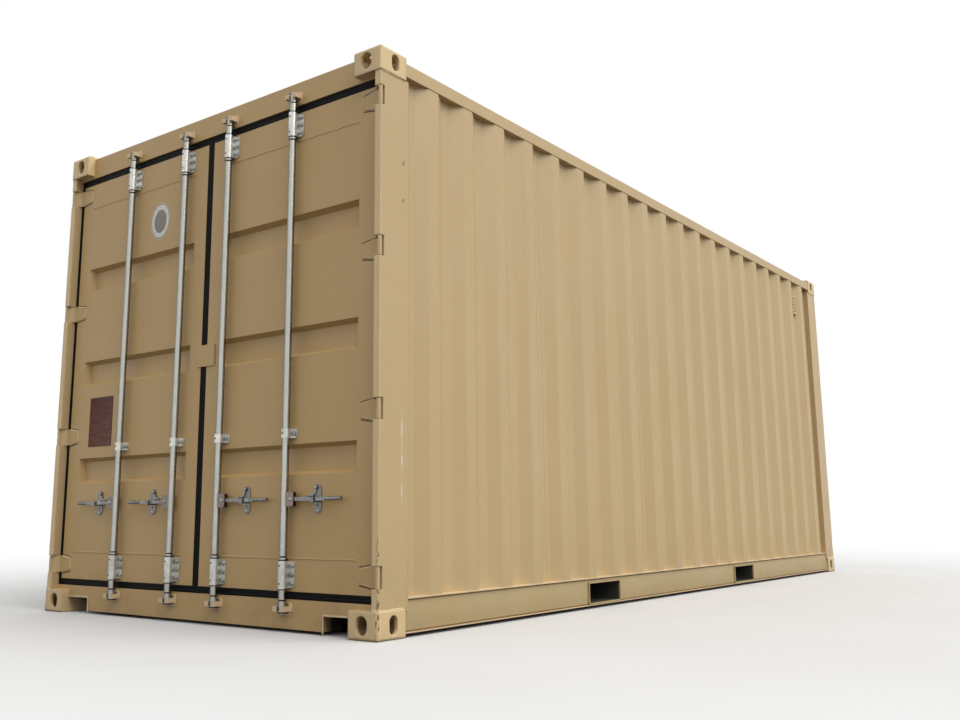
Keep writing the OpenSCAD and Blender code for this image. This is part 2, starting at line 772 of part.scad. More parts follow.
// Leaf drawn on the right: tube frame, pressed panel, hinge blades and the plate that
// laps over the other leaf.
module leaf(lap) {
  t = leaf_tube_t;
  x0 = leaf_face;
  x1 = leaf_back;
  union() {
    difference() {
      box(x0, x1, -leaf_out, -leaf_in, leaf_z0, leaf_z1);
      box(x0 - 1, x1 + 1, -panel_y1, -panel_y0, panel_z0, panel_z1);
      box(x0 + t, x1 - t, -leaf_out + t, -panel_y1 - t, leaf_z0 - 1, leaf_z1 + 1);
      box(x0 + t, x1 - t, -panel_y0 + t, -leaf_in - t, leaf_z0 - 1, leaf_z1 + 1);
      box(x0 + t, x1 - t, -leaf_out + t, -leaf_in - t, leaf_z0 + t, panel_z0 - t);
      box(x0 + t, x1 - t, -leaf_out + t, -leaf_in - t, panel_z1 + t, leaf_z1 - t);
    }
    difference() {
      union() {
        box(x0, x0 + panel_t, -panel_y1, -panel_y0, panel_z0, panel_z1);
        intersection() {
          channels(0);
          box(x0, x1, -panel_y1, -panel_y0, panel_z0, panel_z1);
        }
      }
      channels(panel_t);
    }
    for (z = hinge_zs) blade(z);
    if (lap)
      box(x0 - lap_t, x0, lap_past - lap_w, lap_past, panel_mid - lap_h / 2,
        panel_mid + lap_h / 2);
  }
}

// Rubber seal round the right leaf.
module gasket() {
  g = gasket_gap;
  x0 = leaf_face + 2;
  x1 = leaf_back;
  difference() {
    box(x0, x1, -post_in + g, -g / 2, sill_front_top + g, header_z - g);
    box(x0 - 1, x1 + 1, -leaf_out, -leaf_in, leaf_z0, leaf_z1);
  }
}

// Rod bracket on the leaf: sleeve and a bolted flange that reaches further on -Y and
// stops short of the sleeve's ends by step.
module bracket(y, z, h, step) {
  r = -bracket_reach;
  b = bracket_back;
  c = bracket_cut;
  translate([0, y, z - h / 2]) difference() {
    union() {
      translate([rod_x, 0, 0]) cylinder(r = sleeve_r, h = h);
      box(rod_x, leaf_face, -sleeve_r, sleeve_r, step, h - step);
      translate([leaf_face - bracket_t, 0, step]) rotate([90, 0, 90])
        linear_extrude(height = bracket_t)
          polygon([[r, c], [r + c, 0], [b - c, 0], [b, c], [b, h - 2 * step - c],
            [b - c, h - 2 * step], [r + c, h - 2 * step], [r, h - 2 * step - c]]);
    }
    translate([rod_x, 0, -1]) cylinder(r = rod_r + rod_clear, h = h + 2);
  }
}

// Handle catch: stadium plate with a hook under and in front of the handle, a hole for
// a seal and the headed pin of the swivel flap on the rod's side (toward = 1 or -1).
module catch_plate(y, toward) {
  bar_front = handle_x - bar_d / 2;
  low = handle_z - bar_h / 2 - hook_gap;
  head_x = leaf_face - catch_t - 2 * flap_play - flap_t - pin_head_t;
  difference() {
    translate([leaf_face - catch_t, y, handle_z]) rotate([90, 0, 90])
      stadium(catch_w, catch_h, catch_t);
    translate([leaf_face - catch_t - 1, y, handle_z - seal_drop]) rotate([0, 90, 0])
      cylinder(r = seal_r, h = catch_t + 2);
  }
  translate([0, y - catch_w / 4, 0]) {
    box(bar_front - hook_gap - hook_t, leaf_face, 0, catch_w / 2, low - hook_t, low);
    box(bar_front - hook_gap - hook_t, bar_front - hook_gap, 0, catch_w / 2,
      low - hook_t, handle_z + bar_h / 2);
  }
  translate([head_x, y + toward * flap_side, handle_z + flap_rise]) rotate([0, 90, 0]) {
    cylinder(r = flap_eye_r, h = pin_head_t);
    cylinder(r = flap_pin_r, h = leaf_face - head_x - 1);
  }
}

module fittings(side) {
  for (r = [rod_y_in, rod_y_out]) {
    y = side * r;
    bracket(y, bracket_top_z, bracket_h, bracket_step);
    bracket(y, bracket_mid_z, bracket_mid_h, 0);
    bracket(y, bracket_low_z, bracket_h, bracket_step);
    catch_plate(y + side * catch_y, -side);
  }
}

// Cam: two lobes between round flanges.
module cam(z) {
  h = keeper_h / 2 + cam_gap;
  translate([0, 0, z]) {
    translate([0, 0, h]) cylinder(r = cam_r, h = cam_flange);
    translate([0, 0, -h - cam_flange]) cylinder(r = cam_r, h = cam_flange);
    intersection() {
      translate([0, 0, -h]) cylinder(r = cam_r, h = 2 * h);
      box(-cam_half, cam_half, -cam_r, cam_r, -h, h);
    }
  }
}

// Lock rod of the right leaf with its cams, collars and handle hub.
module rod(y) {
  low_bracket = bracket_low_z - bracket_h / 2 - collar_gap;
  top_bracket = bracket_top_z + bracket_h / 2 + collar_gap;
  low_collar = bracket_low_z + bracket_h / 2 + collar_gap;
  top_collar = bracket_top_z - bracket_h / 2 - collar_gap - collar_h;
  gap = eye_t / 2 + eye_gap;
  translate([rod_x, y, 0]) {
    difference() {
      union() {
        translate([0, 0, rod_low]) cylinder(r = rod_r, h = rod_high - rod_low);
        cam(cam_z_low);
        cam(cam_z_top);
        translate([0, 0, cam_z_low + cam_h])
          cylinder(r = rod_r + shank_step, h = low_bracket - cam_z_low - cam_h);
        translate([0, 0, top_bracket])
          cylinder(r = rod_r + shank_step, h = cam_z_top - cam_h - top_bracket);
        translate([0, 0, low_collar]) cylinder(r = collar_r, h = collar_h);
        translate([0, 0, top_collar]) cylinder(r = collar_r, h = collar_h);
      }
      translate([0, 0, rod_low - 1])
        cylinder(r = rod_r - rod_wall, h = rod_high - rod_low - rod_plug);
    }
    for (x = [gap, -gap - hub_t]) translate([x, 0, handle_z]) rotate([90, 0, 90])
      linear_extrude(height = hub_t)
        polygon([[-rod_r + rod_wall, -hub_h / 2], [-rod_r + rod_wall, hub_h / 2],
          [-hub_l + hub_cut, hub_h / 2], [-hub_l, hub_h / 2 - hub_cut],
          [-hub_l, -hub_h / 2 + hub_cut], [-hub_l + hub_cut, -hub_h / 2]]);
    translate([-gap - hub_t, -rivet_y, handle_z]) rotate([0, 90, 0])
      cylinder(r = rivet_r, h = 2 * gap + 2 * hub_t);
  }
}

// Handle of the right leaf, pointing to the hinge side: eye, flat bar and ringed grip.
module handle(y) {
  thick = rivet_y + norm([hub_l - rivet_y, hub_h / 2]) + neck_gap;
  taper = bar_d;
  ring_pitch = grip_l / (grip_rings + 1);
  translate([handle_x, y, handle_z]) {
    difference() {
      union() {
        translate([-eye_t / 2, -rivet_y, 0]) rotate([0, 90, 0])
          cylinder(r = eye_h / 2, h = eye_t);
        translate([0, 0, -bar_h / 2]) linear_extrude(height = bar_h)
          polygon([[-eye_t / 2, -rivet_y], [-eye_t / 2, -thick], [-bar_d / 2, -thick - taper],
            [-bar_d / 2, -handle_l + grip_l - taper], [bar_d / 2, -handle_l + grip_l - taper],
            [bar_d / 2, -thick - taper], [eye_t / 2, -thick], [eye_t / 2, -rivet_y]]);
        translate([0, -handle_l, 0]) rotate([-90, 0, 0]) cylinder(r = grip_r, h = grip_l);
        for (i = [1:grip_rings]) translate([0, -handle_l + i * ring_pitch, 0])
          rotate([-90, 0, 0]) cylinder(r = grip_r + 1, h = ring_pitch / 2);
      }
      translate([-eye_t, -rivet_y, 0]) rotate([0, 90, 0])
        cylinder(r = rivet_r + rivet_clear, h = 2 * eye_t);
    }
  }
}

// Swivel flap of the right leaf's catch: an eye on the pin, and a curved arm that ends
// in a nose over the handle.
module flap(y) {
  lip_z = handle_z + bar_h / 2 + flap_gap;
  pivot_z = handle_z + flap_rise;
  bend = pivot_z - lip_z - flap_w / 2;
  x1 = leaf_face - catch_t - flap_play;
  nose = flap_side + bend;
  translate([0, y - catch_y, 0]) {
    translate([x1 - flap_t, 0, 0]) rotate([90, 0, 90]) linear_extrude(height = flap_t)
      difference() {
        union() {
          translate([flap_side, pivot_z]) circle(r = flap_eye_r);
          intersection() {
            translate([nose, pivot_z]) difference() {
              circle(r = bend + flap_w / 2);
              circle(r = bend - flap_w / 2);
            }
            translate([0, lip_z]) square([nose, pivot_z - lip_z]);
          }
          translate([nose - 1, lip_z]) square([flap_w, flap_w]);
        }
        translate([flap_side, pivot_z]) circle(r = flap_pin_r + flap_clear);
      }
    box(handle_x - bar_d / 2, x1, nose + flap_w - 1 - flap_nose, nose + flap_w - 1,
      lip_z, lip_z + flap_t);
  }
}

color([0.70, 0.58, 0.41]) at_rear() castings();  // rear_castings
color([0.70, 0.58, 0.41]) at_front() castings();  // front_castings
color([0.72, 0.60, 0.43]) at_rear() both_sides() post();  // rear_posts
color([0.72, 0.60, 0.43]) at_front() both_sides() post();  // front_posts
color([0.68, 0.56, 0.40]) at_rear() header();  // rear_header
color([0.68, 0.56, 0.40]) at_front() header();  // front_header
color([0.68, 0.56, 0.40]) at_rear() sill();  // rear_sill
color([0.68, 0.56, 0.40]) at_front() sill();  // front_sill
color([0.76, 0.65, 0.48]) top_rails();
color([0.76, 0.65, 0.48]) bottom_rails();
color([0.60, 0.50, 0.36]) forklift_pockets();
color([0.50, 0.42, 0.30]) cross_members();
color([0.45, 0.30, 0.18]) floor_boards();  // floor
color([0.78, 0.68, 0.52]) mirror([0, 1, 0]) wall();  // left_wall
color([0.78, 0.68, 0.52]) wall();  // right_wall
color([0.74, 0.64, 0.48]) ventilators();
color([0.74, 0.64, 0.48]) roof();
color([0.62, 0.52, 0.37]) at_rear() keepers();  // rear_keepers
color([0.62, 0.52, 0.37]) at_front() keepers();  // front_keepers
color([0.64, 0.53, 0.38]) at_rear() mirror([0, 1, 0]) leaf(false);  // rear_left_door
color([0.64, 0.53, 0.38]) at_rear() leaf(true);  // rear_right_door
color([0.64, 0.53, 0.38]) at_front() mirror([0, 1, 0]) leaf(false);  // front_left_door
color([0.64, 0.53, 0.38]) at_front() leaf(true);  // front_right_door
color([0.08, 0.08, 0.08]) at_rear() mirror([0, 1, 0]) gasket();  // rear_left_gasket
color([0.08, 0.08, 0.08]) at_rear() gasket();  // rear_right_gasket
color([0.08, 0.08, 0.08]) at_front() mirror([0, 1, 0]) gasket();  // front_left_gasket
color([0.08, 0.08, 0.08]) at_front() gasket();  // front_right_gasket
color([0.7, 0.72, 0.74]) at_rear() fittings(1);  // rear_left_fittings
color([0.7, 0.72, 0.74]) at_rear() fittings(-1);  // rear_right_fittings
color([0.7, 0.72, 0.74]) at_front() fittings(1);  // front_left_fittings
color([0.7, 0.72, 0.74]) at_front() fittings(-1);  // front_right_fittings
color([0.8, 0.82, 0.84]) at_rear() mirror([0, 1, 0]) rod(-rod_y_out);  // rear_left_outer_rod
color([0.8, 0.82, 0.84]) at_rear() mirror([0, 1, 0]) rod(-rod_y_in);  // rear_left_inner_rod
color([0.8, 0.82, 0.84]) at_rear() rod(-rod_y_in);  // rear_right_inner_rod
color([0.8, 0.82, 0.84]) at_rear() rod(-rod_y_out);  // rear_right_outer_rod
color([0.8, 0.82, 0.84]) at_front() mirror([0, 1, 0]) rod(-rod_y_out);  // front_left_outer_rod
color([0.8, 0.82, 0.84]) at_front() mirror([0, 1, 0]) rod(-rod_y_in);  // front_left_inner_rod
color([0.8, 0.82, 0.84]) at_front() rod(-rod_y_in);  // front_right_inner_rod
color([0.8, 0.82, 0.84]) at_front() rod(-rod_y_out);  // front_right_outer_rod
color([0.66, 0.67, 0.69]) at_rear() mirror([0, 1, 0]) handle(-rod_y_out);  // rear_left_outer_handle
color([0.66, 0.67, 0.69]) at_rear() mirror([0, 1, 0]) handle(-rod_y_in);  // rear_left_inner_handle
color([0.66, 0.67, 0.69]) at_rear() handle(-rod_y_in);  // rear_right_inner_handle
color([0.66, 0.67, 0.69]) at_rear() handle(-rod_y_out);  // rear_right_outer_handle
color([0.66, 0.67, 0.69]) at_front() mirror([0, 1, 0]) handle(-rod_y_out);  // front_left_outer_handle
color([0.66, 0.67, 0.69]) at_front() mirror([0, 1, 0]) handle(-rod_y_in);  // front_left_inner_handle
color([0.66, 0.67, 0.69]) at_front() handle(-rod_y_in);  // front_right_inner_handle
color([0.66, 0.67, 0.69]) at_front() handle(-rod_y_out);  // front_right_outer_handle
color([0.74, 0.75, 0.77]) at_rear() mirror([0, 1, 0]) flap(-rod_y_out);  // rear_left_outer_flap
color([0.74, 0.75, 0.77]) at_rear() mirror([0, 1, 0]) flap(-rod_y_in);  // rear_left_inner_flap
color([0.74, 0.75, 0.77]) at_rear() flap(-rod_y_in);  // rear_right_inner_flap
color([0.74, 0.75, 0.77]) at_rear() flap(-rod_y_out);  // rear_right_outer_flap
color([0.74, 0.75, 0.77]) at_front() mirror([0, 1, 0]) flap(-rod_y_out);  // front_left_outer_flap
color([0.74, 0.75, 0.77]) at_front() mirror([0, 1, 0]) flap(-rod_y_in);  // front_left_inner_flap
color([0.74, 0.75, 0.77]) at_front() flap(-rod_y_in);  // front_right_inner_flap
color([0.74, 0.75, 0.77]) at_front() flap(-rod_y_out);  // front_right_outer_flap
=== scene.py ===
# A twenty-foot freight container with doors at both ends, dressed for the camera.
# Metres; X runs along the length to the front end, Y to the left, Z up.
import math

import bmesh
import bpy
from mathutils import Matrix, Vector


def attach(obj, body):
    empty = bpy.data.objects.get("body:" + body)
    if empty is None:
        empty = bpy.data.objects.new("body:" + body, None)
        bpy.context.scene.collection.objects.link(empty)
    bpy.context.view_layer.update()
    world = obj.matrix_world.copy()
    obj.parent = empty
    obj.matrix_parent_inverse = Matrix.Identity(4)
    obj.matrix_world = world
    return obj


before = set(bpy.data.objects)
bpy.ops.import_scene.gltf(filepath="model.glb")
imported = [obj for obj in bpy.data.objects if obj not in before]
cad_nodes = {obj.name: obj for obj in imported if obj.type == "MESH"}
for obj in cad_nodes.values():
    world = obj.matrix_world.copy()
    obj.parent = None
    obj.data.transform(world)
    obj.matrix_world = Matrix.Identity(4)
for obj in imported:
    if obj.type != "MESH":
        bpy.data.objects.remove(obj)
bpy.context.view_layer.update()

# Camera: low beside the rear right corner, a little above the ground, looking up along
# the right side as the photograph does.
eye = Vector((-6.13986, -3.96760, 0.50367))
to_right = Vector((0.610077, -0.792320, -0.005959))
downwards = Vector((0.139794, 0.115036, -0.983476))
ahead = Vector((0.779913, 0.599163, 0.180943))
lens = bpy.data.cameras.new("camera")
lens.sensor_width = 36.0
lens.lens = 37.165
lens.shift_x = 0.0353
lens.shift_y = -0.0284
camera = bpy.data.objects.new("camera", lens)
view_axes = Matrix((to_right, -downwards, -ahead)).transposed().to_4x4()
camera.matrix_world = Matrix.Translation(eye) @ view_axes
bpy.context.scene.collection.objects.link(camera)
bpy.context.scene.camera = camera
bpy.context.scene.view_settings.view_transform = "Standard"

# Light: a plain even surround, and one broad lamp high on the right side, so that the
# side is lit and the door end stays in open shade. Where the surround is looked at,
# straight or in a mirror, it is plain white.
surround_tint = (0.97, 0.985, 1.0, 1.0)
surround_light = 0.82
plain_white = (1.0, 1.0, 1.0, 1.0)
lamp_tint = (1.0, 0.985, 0.95)
lamp_strength = 2.5
lamp_breadth = 60.0
lamp_from = Vector((0.02, -0.64, 0.77))


def maths(tree, kind, first, second):
    """One arithmetic step between two values, or between a value and a number."""
    step = tree.nodes.new("ShaderNodeMath")
    step.operation = kind
    for socket, term in zip(step.inputs, (first, second)):
        if isinstance(term, (int, float)):
            socket.default_value = term
        else:
            tree.links.new(term, socket)
    return step.outputs[0]


surround = bpy.data.worlds.new("surround")
surround.use_nodes = True
sky = surround.node_tree
sky.nodes.clear()
sky_ray = sky.nodes.new("ShaderNodeLightPath").outputs
sky_seen = maths(sky, "MAXIMUM", sky_ray["Is Camera Ray"], sky_ray["Is Glossy Ray"])
sky_seen = maths(sky, "MAXIMUM", sky_seen, sky_ray["Is Transmission Ray"])
sky_mix = sky.nodes.new("ShaderNodeMixShader")
sky.links.new(sky_seen, sky_mix.inputs["Fac"])
sky_shades = ((1, surround_tint, surround_light), (2, plain_white, 1.0))
for sky_input, tint, strength in sky_shades:
    shade = sky.nodes.new("ShaderNodeBackground")
    shade.inputs["Color"].default_value = tint
    shade.inputs["Strength"].default_value = strength
    sky.links.new(shade.outputs[0], sky_mix.inputs[sky_input])
sky_out = sky.nodes.new("ShaderNodeOutputWorld")
sky.links.new(sky_mix.outputs[0], sky_out.inputs["Surface"])
bpy.context.scene.world = surround
lamp_light = bpy.data.lights.new("lamp", "SUN")
lamp_light.energy = lamp_strength
lamp_light.angle = math.radians(lamp_breadth)
lamp_light.color = lamp_tint
lamp = bpy.data.objects.new("lamp", lamp_light)
lamp.rotation_euler = lamp_from.to_track_quat("Z", "Y").to_euler()
bpy.context.scene.collection.objects.link(lamp)

# Floor: pale smooth concrete that keeps the shadow under the container and fades into
# the white surround further out. It throws back less light than it shows, so that the
# underside stays dark.
floor_reach = 45.0
floor_sides = 64
floor_dark = 0.58
floor_pale = 0.64
fade_start = 4.0
fade_end = 9.0
bounce_share = 0.12
mirror_share = 0.5


def new_look(name):
    """A material, with its node tree and its shader."""
    look = bpy.data.materials.new(name)
    look.use_nodes = True
    return look, look.node_tree, look.node_tree.nodes["Principled BSDF"]


def place_in(tree):
    """The place on the object that is being shaded."""
    return tree.nodes.new("ShaderNodeTexCoord").outputs["Object"]


def noise(tree, where, size, detail=3.0, rough=0.5):
    """Cloudy grey value, with about size clouds in a metre."""
    clouds = tree.nodes.new("ShaderNodeTexNoise")
    clouds.inputs["Scale"].default_value = size
    clouds.inputs["Detail"].default_value = detail
    clouds.inputs["Roughness"].default_value = rough
    tree.links.new(where, clouds.inputs["Vector"])
    return clouds.outputs["Fac"]


def spread(tree, value, low, high, bottom=0.0, top=1.0):
    """Stretches low..high of a value over bottom..top."""
    ramp = tree.nodes.new("ShaderNodeMapRange")
    ramp.inputs["From Min"].default_value = low
    ramp.inputs["From Max"].default_value = high
    ramp.inputs["To Min"].default_value = bottom
    ramp.inputs["To Max"].default_value = top
    tree.links.new(value, ramp.inputs["Value"])
    return ramp.outputs["Result"]


def length_of(tree, vector):
    """How long a vector is, such as the distance from a place."""
    measure = tree.nodes.new("ShaderNodeVectorMath")
    measure.operation = "LENGTH"
    tree.links.new(vector, measure.inputs[0])
    return measure.outputs["Value"]


floor_mesh = bmesh.new()
bmesh.ops.create_circle(floor_mesh, cap_ends=True, segments=floor_sides, radius=floor_reach)
floor_data = bpy.data.meshes.new("studio_floor")
floor_mesh.to_mesh(floor_data)
floor_mesh.free()
studio_floor = bpy.data.objects.new("studio_floor", floor_data)
bpy.context.scene.collection.objects.link(studio_floor)
floor_look, ground, ground_shader = new_look("pale_floor")
ground_shader.inputs["Roughness"].default_value = 0.85
ground_at = place_in(ground)
ground_ray = ground.nodes.new("ShaderNodeLightPath").outputs
ground_tone = spread(ground, noise(ground, ground_at, 0.8, 6.0), 0.0, 1.0, floor_dark, floor_pale)
ground_plain = maths(ground, "MULTIPLY", ground_ray["Is Glossy Ray"], mirror_share)
ground_plain = maths(ground, "MAXIMUM", ground_ray["Is Camera Ray"], ground_plain)
ground_share = spread(ground, ground_plain, 0.0, 1.0, bounce_share, 1.0)
ground_shown = maths(ground, "MULTIPLY", ground_tone, ground_share)
ground.links.new(ground_shown, ground_shader.inputs["Base Color"])
ground_fade = spread(ground, length_of(ground, ground_at), fade_start, fade_end)
ground_seen = maths(ground, "MAXIMUM", ground_ray["Is Camera Ray"], ground_ray["Is Glossy Ray"])
ground_part = maths(ground, "MULTIPLY", ground_fade, ground_seen)
ground_white = ground.nodes.new("ShaderNodeEmission")
ground_white.inputs["Strength"].default_value = 1.0
ground_mix = ground.nodes.new("ShaderNodeMixShader")
ground.links.new(ground_part, ground_mix.inputs["Fac"])
ground.links.new(ground_shader.outputs[0], ground_mix.inputs[1])
ground.links.new(ground_white.outputs[0], ground_mix.inputs[2])
ground.links.new(ground_mix.outputs[0], ground.nodes["Material Output"].inputs["Surface"])
floor_data.materials.append(floor_look)

# Tan paint on the weathering-steel body: a sprayed satin film over slightly wavy sheet,
# with faded clouds, faint rain streaks and dirt low down. Walls, roof and top rails are
# painted with it as it comes.
NUMBER = "NodeSocketFloat"
TINT = "NodeSocketColor"
PLACE = "NodeSocketVector"


def open_group(title, takes, gives):
    """An empty node group with its named sockets, and its two end nodes."""
    tree = bpy.data.node_groups.new(title, "ShaderNodeTree")
    for kind, name, value in takes:
        socket = tree.interface.new_socket(name=name, in_out="INPUT", socket_type=kind)
        socket.default_value = value
    for kind, name in gives:
        tree.interface.new_socket(name=name, in_out="OUTPUT", socket_type=kind)
    return tree, tree.nodes.new("NodeGroupInput"), tree.nodes.new("NodeGroupOutput")


def place_maths(tree, kind, first, second):
    """One arithmetic step between two places, the second a socket or three numbers."""
    step = tree.nodes.new("ShaderNodeVectorMath")
    step.operation = kind
    tree.links.new(first, step.inputs[0])
    if isinstance(second, (tuple, Vector)):
        step.inputs[1].default_value = second
    else:
        tree.links.new(second, step.inputs[1])
    return step.outputs["Vector"]


def tint_over(tree, cover, under, over):
    """Lays one colour over another where cover is 1."""
    layer = tree.nodes.new("ShaderNodeMix")
    layer.data_type = "RGBA"
    tree.links.new(cover, layer.inputs["Factor"])
    for socket, colour in ((layer.inputs["A"], under), (layer.inputs["B"], over)):
        if isinstance(colour, tuple):
            socket.default_value = (*colour, 1.0)
        else:
            tree.links.new(colour, socket)
    return layer.outputs["Result"]


film, film_in, film_out = open_group(
    "sprayed_film",
    (
        (TINT, "Paint", (0.5, 0.36, 0.2, 1.0)),
        (TINT, "Faded", (0.56, 0.43, 0.27, 1.0)),
        (TINT, "Dirt", (0.20, 0.15, 0.09, 1.0)),
        (NUMBER, "Streaks", 0.25),
        (NUMBER, "Low Dirt", 0.5),
        (NUMBER, "Dirt Height", 0.5),
        (NUMBER, "Waviness", 0.0006),
    ),
    ((TINT, "Color"), (NUMBER, "Roughness"), (NUMBER, "Height")),
)
rain_streaks = (11.0, 11.0, 0.45)
peel_depth = 0.00007
film_at = place_in(film)
film_cloud = spread(film, noise(film, film_at, 0.9, 5.0, 0.6), 0.36, 0.66)
film_fine = spread(film, noise(film, film_at, 34.0, 4.0, 0.6), 0.45, 0.75, 0.0, 0.05)
film_rain = noise(film, place_maths(film, "MULTIPLY", film_at, rain_streaks), 1.0, 6.0, 0.6)
film_rain = spread(film, film_rain, 0.50, 0.82)
film_rain = maths(film, "MULTIPLY", film_rain, film_in.outputs["Streaks"])
film_axes = film.nodes.new("ShaderNodeSeparateXYZ")
film.links.new(film_at, film_axes.inputs[0])
film_low = maths(film, "DIVIDE", film_axes.outputs["Z"], film_in.outputs["Dirt Height"])
film_low = spread(film, film_low, 1.0, 0.0)
film_splash = spread(film, noise(film, film_at, 7.0, 6.0, 0.65), 0.35, 0.75)
film_low = maths(film, "MULTIPLY", film_low, film_splash)
film_low = maths(film, "MULTIPLY", film_low, film_in.outputs["Low Dirt"])
film_dirt = maths(film, "MAXIMUM", film_rain, film_low)
film_dirt = maths(film, "MAXIMUM", film_dirt, film_fine)
film_tone = tint_over(film, film_cloud, film_in.outputs["Paint"], film_in.outputs["Faded"])
film_tone = tint_over(film, film_dirt, film_tone, film_in.outputs["Dirt"])
film.links.new(film_tone, film_out.inputs["Color"])
film_gloss = spread(film, noise(film, film_at, 3.0, 4.0), 0.3, 0.7, 0.36, 0.52)
film_gloss = maths(film, "ADD", film_gloss, maths(film, "MULTIPLY", film_dirt, 0.35))
film.links.new(film_gloss, film_out.inputs["Roughness"])
film_wave = maths(film, "MULTIPLY", noise(film, film_at, 2.6, 2.0), film_in.outputs["Waviness"])
film_peel = maths(film, "MULTIPLY", noise(film, film_at, 210.0, 2.0), peel_depth)
film.links.new(maths(film, "ADD", film_wave, film_peel), film_out.inputs["Height"])

# Marks where paint has gone: a soft patch round a place, broken up into chips.
marks, marks_in, marks_out = open_group(
    "chipped_patch",
    (
        (PLACE, "Centre", (0.0, 0.0, 0.0)),
        (PLACE, "Reach", (0.1, 0.1, 0.1)),
        (PLACE, "Grain", (60.0, 60.0, 60.0)),
        (NUMBER, "Cover", 0.5),
    ),
    ((NUMBER, "Mask"),),
)
whole_grain = (1.0, 1.0, 1.0)
whole_cover = 1.4
marks_at = place_in(marks)
marks_from = place_maths(marks, "SUBTRACT", marks_at, marks_in.outputs["Centre"])
marks_part = place_maths(marks, "DIVIDE", marks_from, marks_in.outputs["Reach"])
marks_near = spread(marks, length_of(marks, marks_part), 1.0, 0.7)
marks_grain = place_maths(marks, "MULTIPLY", marks_at, marks_in.outputs["Grain"])
marks_break = noise(marks, marks_grain, 1.0, 6.0, 0.6)
marks_lift = maths(marks, "MULTIPLY", marks_in.outputs["Cover"], 0.5)
marks_break = spread(marks, maths(marks, "ADD", marks_break, marks_lift), 0.72, 0.78)
marks.links.new(maths(marks, "MULTIPLY", marks_near, marks_break), marks_out.inputs["Mask"])


def whole(centre, reach, colour):
    """A patch left whole inside its soft rim, where chips are broken up."""
    return centre, reach, whole_grain, whole_cover, colour


def lay_patches(tree, tone, patches):
    """Lays patches of (centre, reach, grain, cover, colour) over a tone."""
    for centre, reach, grain, cover, colour in patches:
        patch = tree.nodes.new("ShaderNodeGroup")
        patch.node_tree = marks
        patch.inputs["Centre"].default_value = centre
        patch.inputs["Reach"].default_value = reach
        patch.inputs["Grain"].default_value = grain
        patch.inputs["Cover"].default_value = cover
        tone = tint_over(tree, patch.outputs["Mask"], tone, colour)
    return tone


def raise_by(tree, shader, height, depth):
    """Bumps a surface by a height times a depth, which together are in metres."""
    bump = tree.nodes.new("ShaderNodeBump")
    bump.inputs["Distance"].default_value = depth
    tree.links.new(height, bump.inputs["Height"])
    tree.links.new(bump.outputs["Normal"], shader.inputs["Normal"])
    return bump


def paint_look(name, paint, faded, dirt, streaks, low_dirt, dirt_height, waviness, chips=(), edge=0.0):
    """Satin paint from the film group, with patches of lay_patches as its chips.

    Edge is the radius that the press and the paint leave on the steel's edges.
    """
    look, tree, shader = new_look(name)
    coat = tree.nodes.new("ShaderNodeGroup")
    coat.node_tree = film
    coat.inputs["Paint"].default_value = (*paint, 1.0)
    coat.inputs["Faded"].default_value = (*faded, 1.0)
    coat.inputs["Dirt"].default_value = (*dirt, 1.0)
    coat.inputs["Streaks"].default_value = streaks
    coat.inputs["Low Dirt"].default_value = low_dirt
    coat.inputs["Dirt Height"].default_value = dirt_height
    coat.inputs["Waviness"].default_value = waviness
    tone = lay_patches(tree, coat.outputs["Color"], chips)
    tree.links.new(tone, shader.inputs["Base Color"])
    tree.links.new(coat.outputs["Roughness"], shader.inputs["Roughness"])
    bump = raise_by(tree, shader, coat.outputs["Height"], 1.0)
    if edge:
        rounding = tree.nodes.new("ShaderNodeBevel")
        rounding.samples = 6
        rounding.inputs["Radius"].default_value = edge
        tree.links.new(rounding.outputs["Normal"], bump.inputs["Normal"])
    return look


def wear(look, *names):
    """Gives CAD nodes their finish in place of the plain one they came with."""
    for name in names:
        slots = cad_nodes[name].data.materials
        slots.clear()
        slots.append(look)


side_tan = (0.490, 0.354, 0.178)
side_coat = {
    "paint": side_tan,
    "faded": (0.508, 0.370, 0.192),
    "dirt": (0.22, 0.165, 0.10),
    "streaks": 0.08,
    "low_dirt": 0.25,
    "dirt_height": 0.5,
}
side_look = paint_look("side_paint", **side_coat, waviness=0.0009)
wear(side_look, "left_wall", "right_wall", "ventilators", "roof", "top_rails")

# Corner castings and posts: thick cast and pressed steel, seam-welded to each other,
# knocked and chipped at the corners, with painted shade in the castings' holes and a
# painted highlight on the posts' front faces.
rust = (0.16, 0.055, 0.02)
bare_brown = (0.10, 0.055, 0.03)
spot_rust = (0.30, 0.17, 0.08)
scuffed = (0.62, 0.53, 0.40)
painted_highlight_tan = (0.660, 0.485, 0.260)
hole_shade = (0.035, 0.028, 0.018)
worn_edge = 0.010
post_marks = (
    # Painted highlight: the posts' front faces paler than the side paint.
    whole((-3.023, 0.0, 1.3), (0.005, 9.0, 9.0), painted_highlight_tan),
    whole((3.023, 0.0, 1.3), (0.005, 9.0, 9.0), painted_highlight_tan),
    ((-3.023, -1.214, 0.22), (0.012, 0.012, 0.22), (110.0, 110.0, 40.0), 0.47, bare_brown),
    ((-3.023, 1.214, 0.25), (0.012, 0.012, 0.22), (110.0, 110.0, 40.0), 0.42, bare_brown),
    ((-2.872, -1.214, 0.74), (0.008, 0.02, 0.25), (160.0, 40.0, 26.0), 0.50, scuffed),
    ((-2.865, -1.214, 2.07), (0.011, 0.02, 0.014), (70.0, 70.0, 70.0), 0.62, spot_rust),
    ((-2.866, -1.214, 1.894), (0.009, 0.02, 0.011), (80.0, 80.0, 80.0), 0.62, spot_rust),
    ((3.023, 1.214, 0.24), (0.012, 0.012, 0.20), (110.0, 110.0, 40.0), 0.42, bare_brown),
)
post_look = paint_look("post_paint", **side_coat, waviness=0.0004, chips=post_marks, edge=worn_edge)
wear(post_look, "rear_posts", "front_posts")
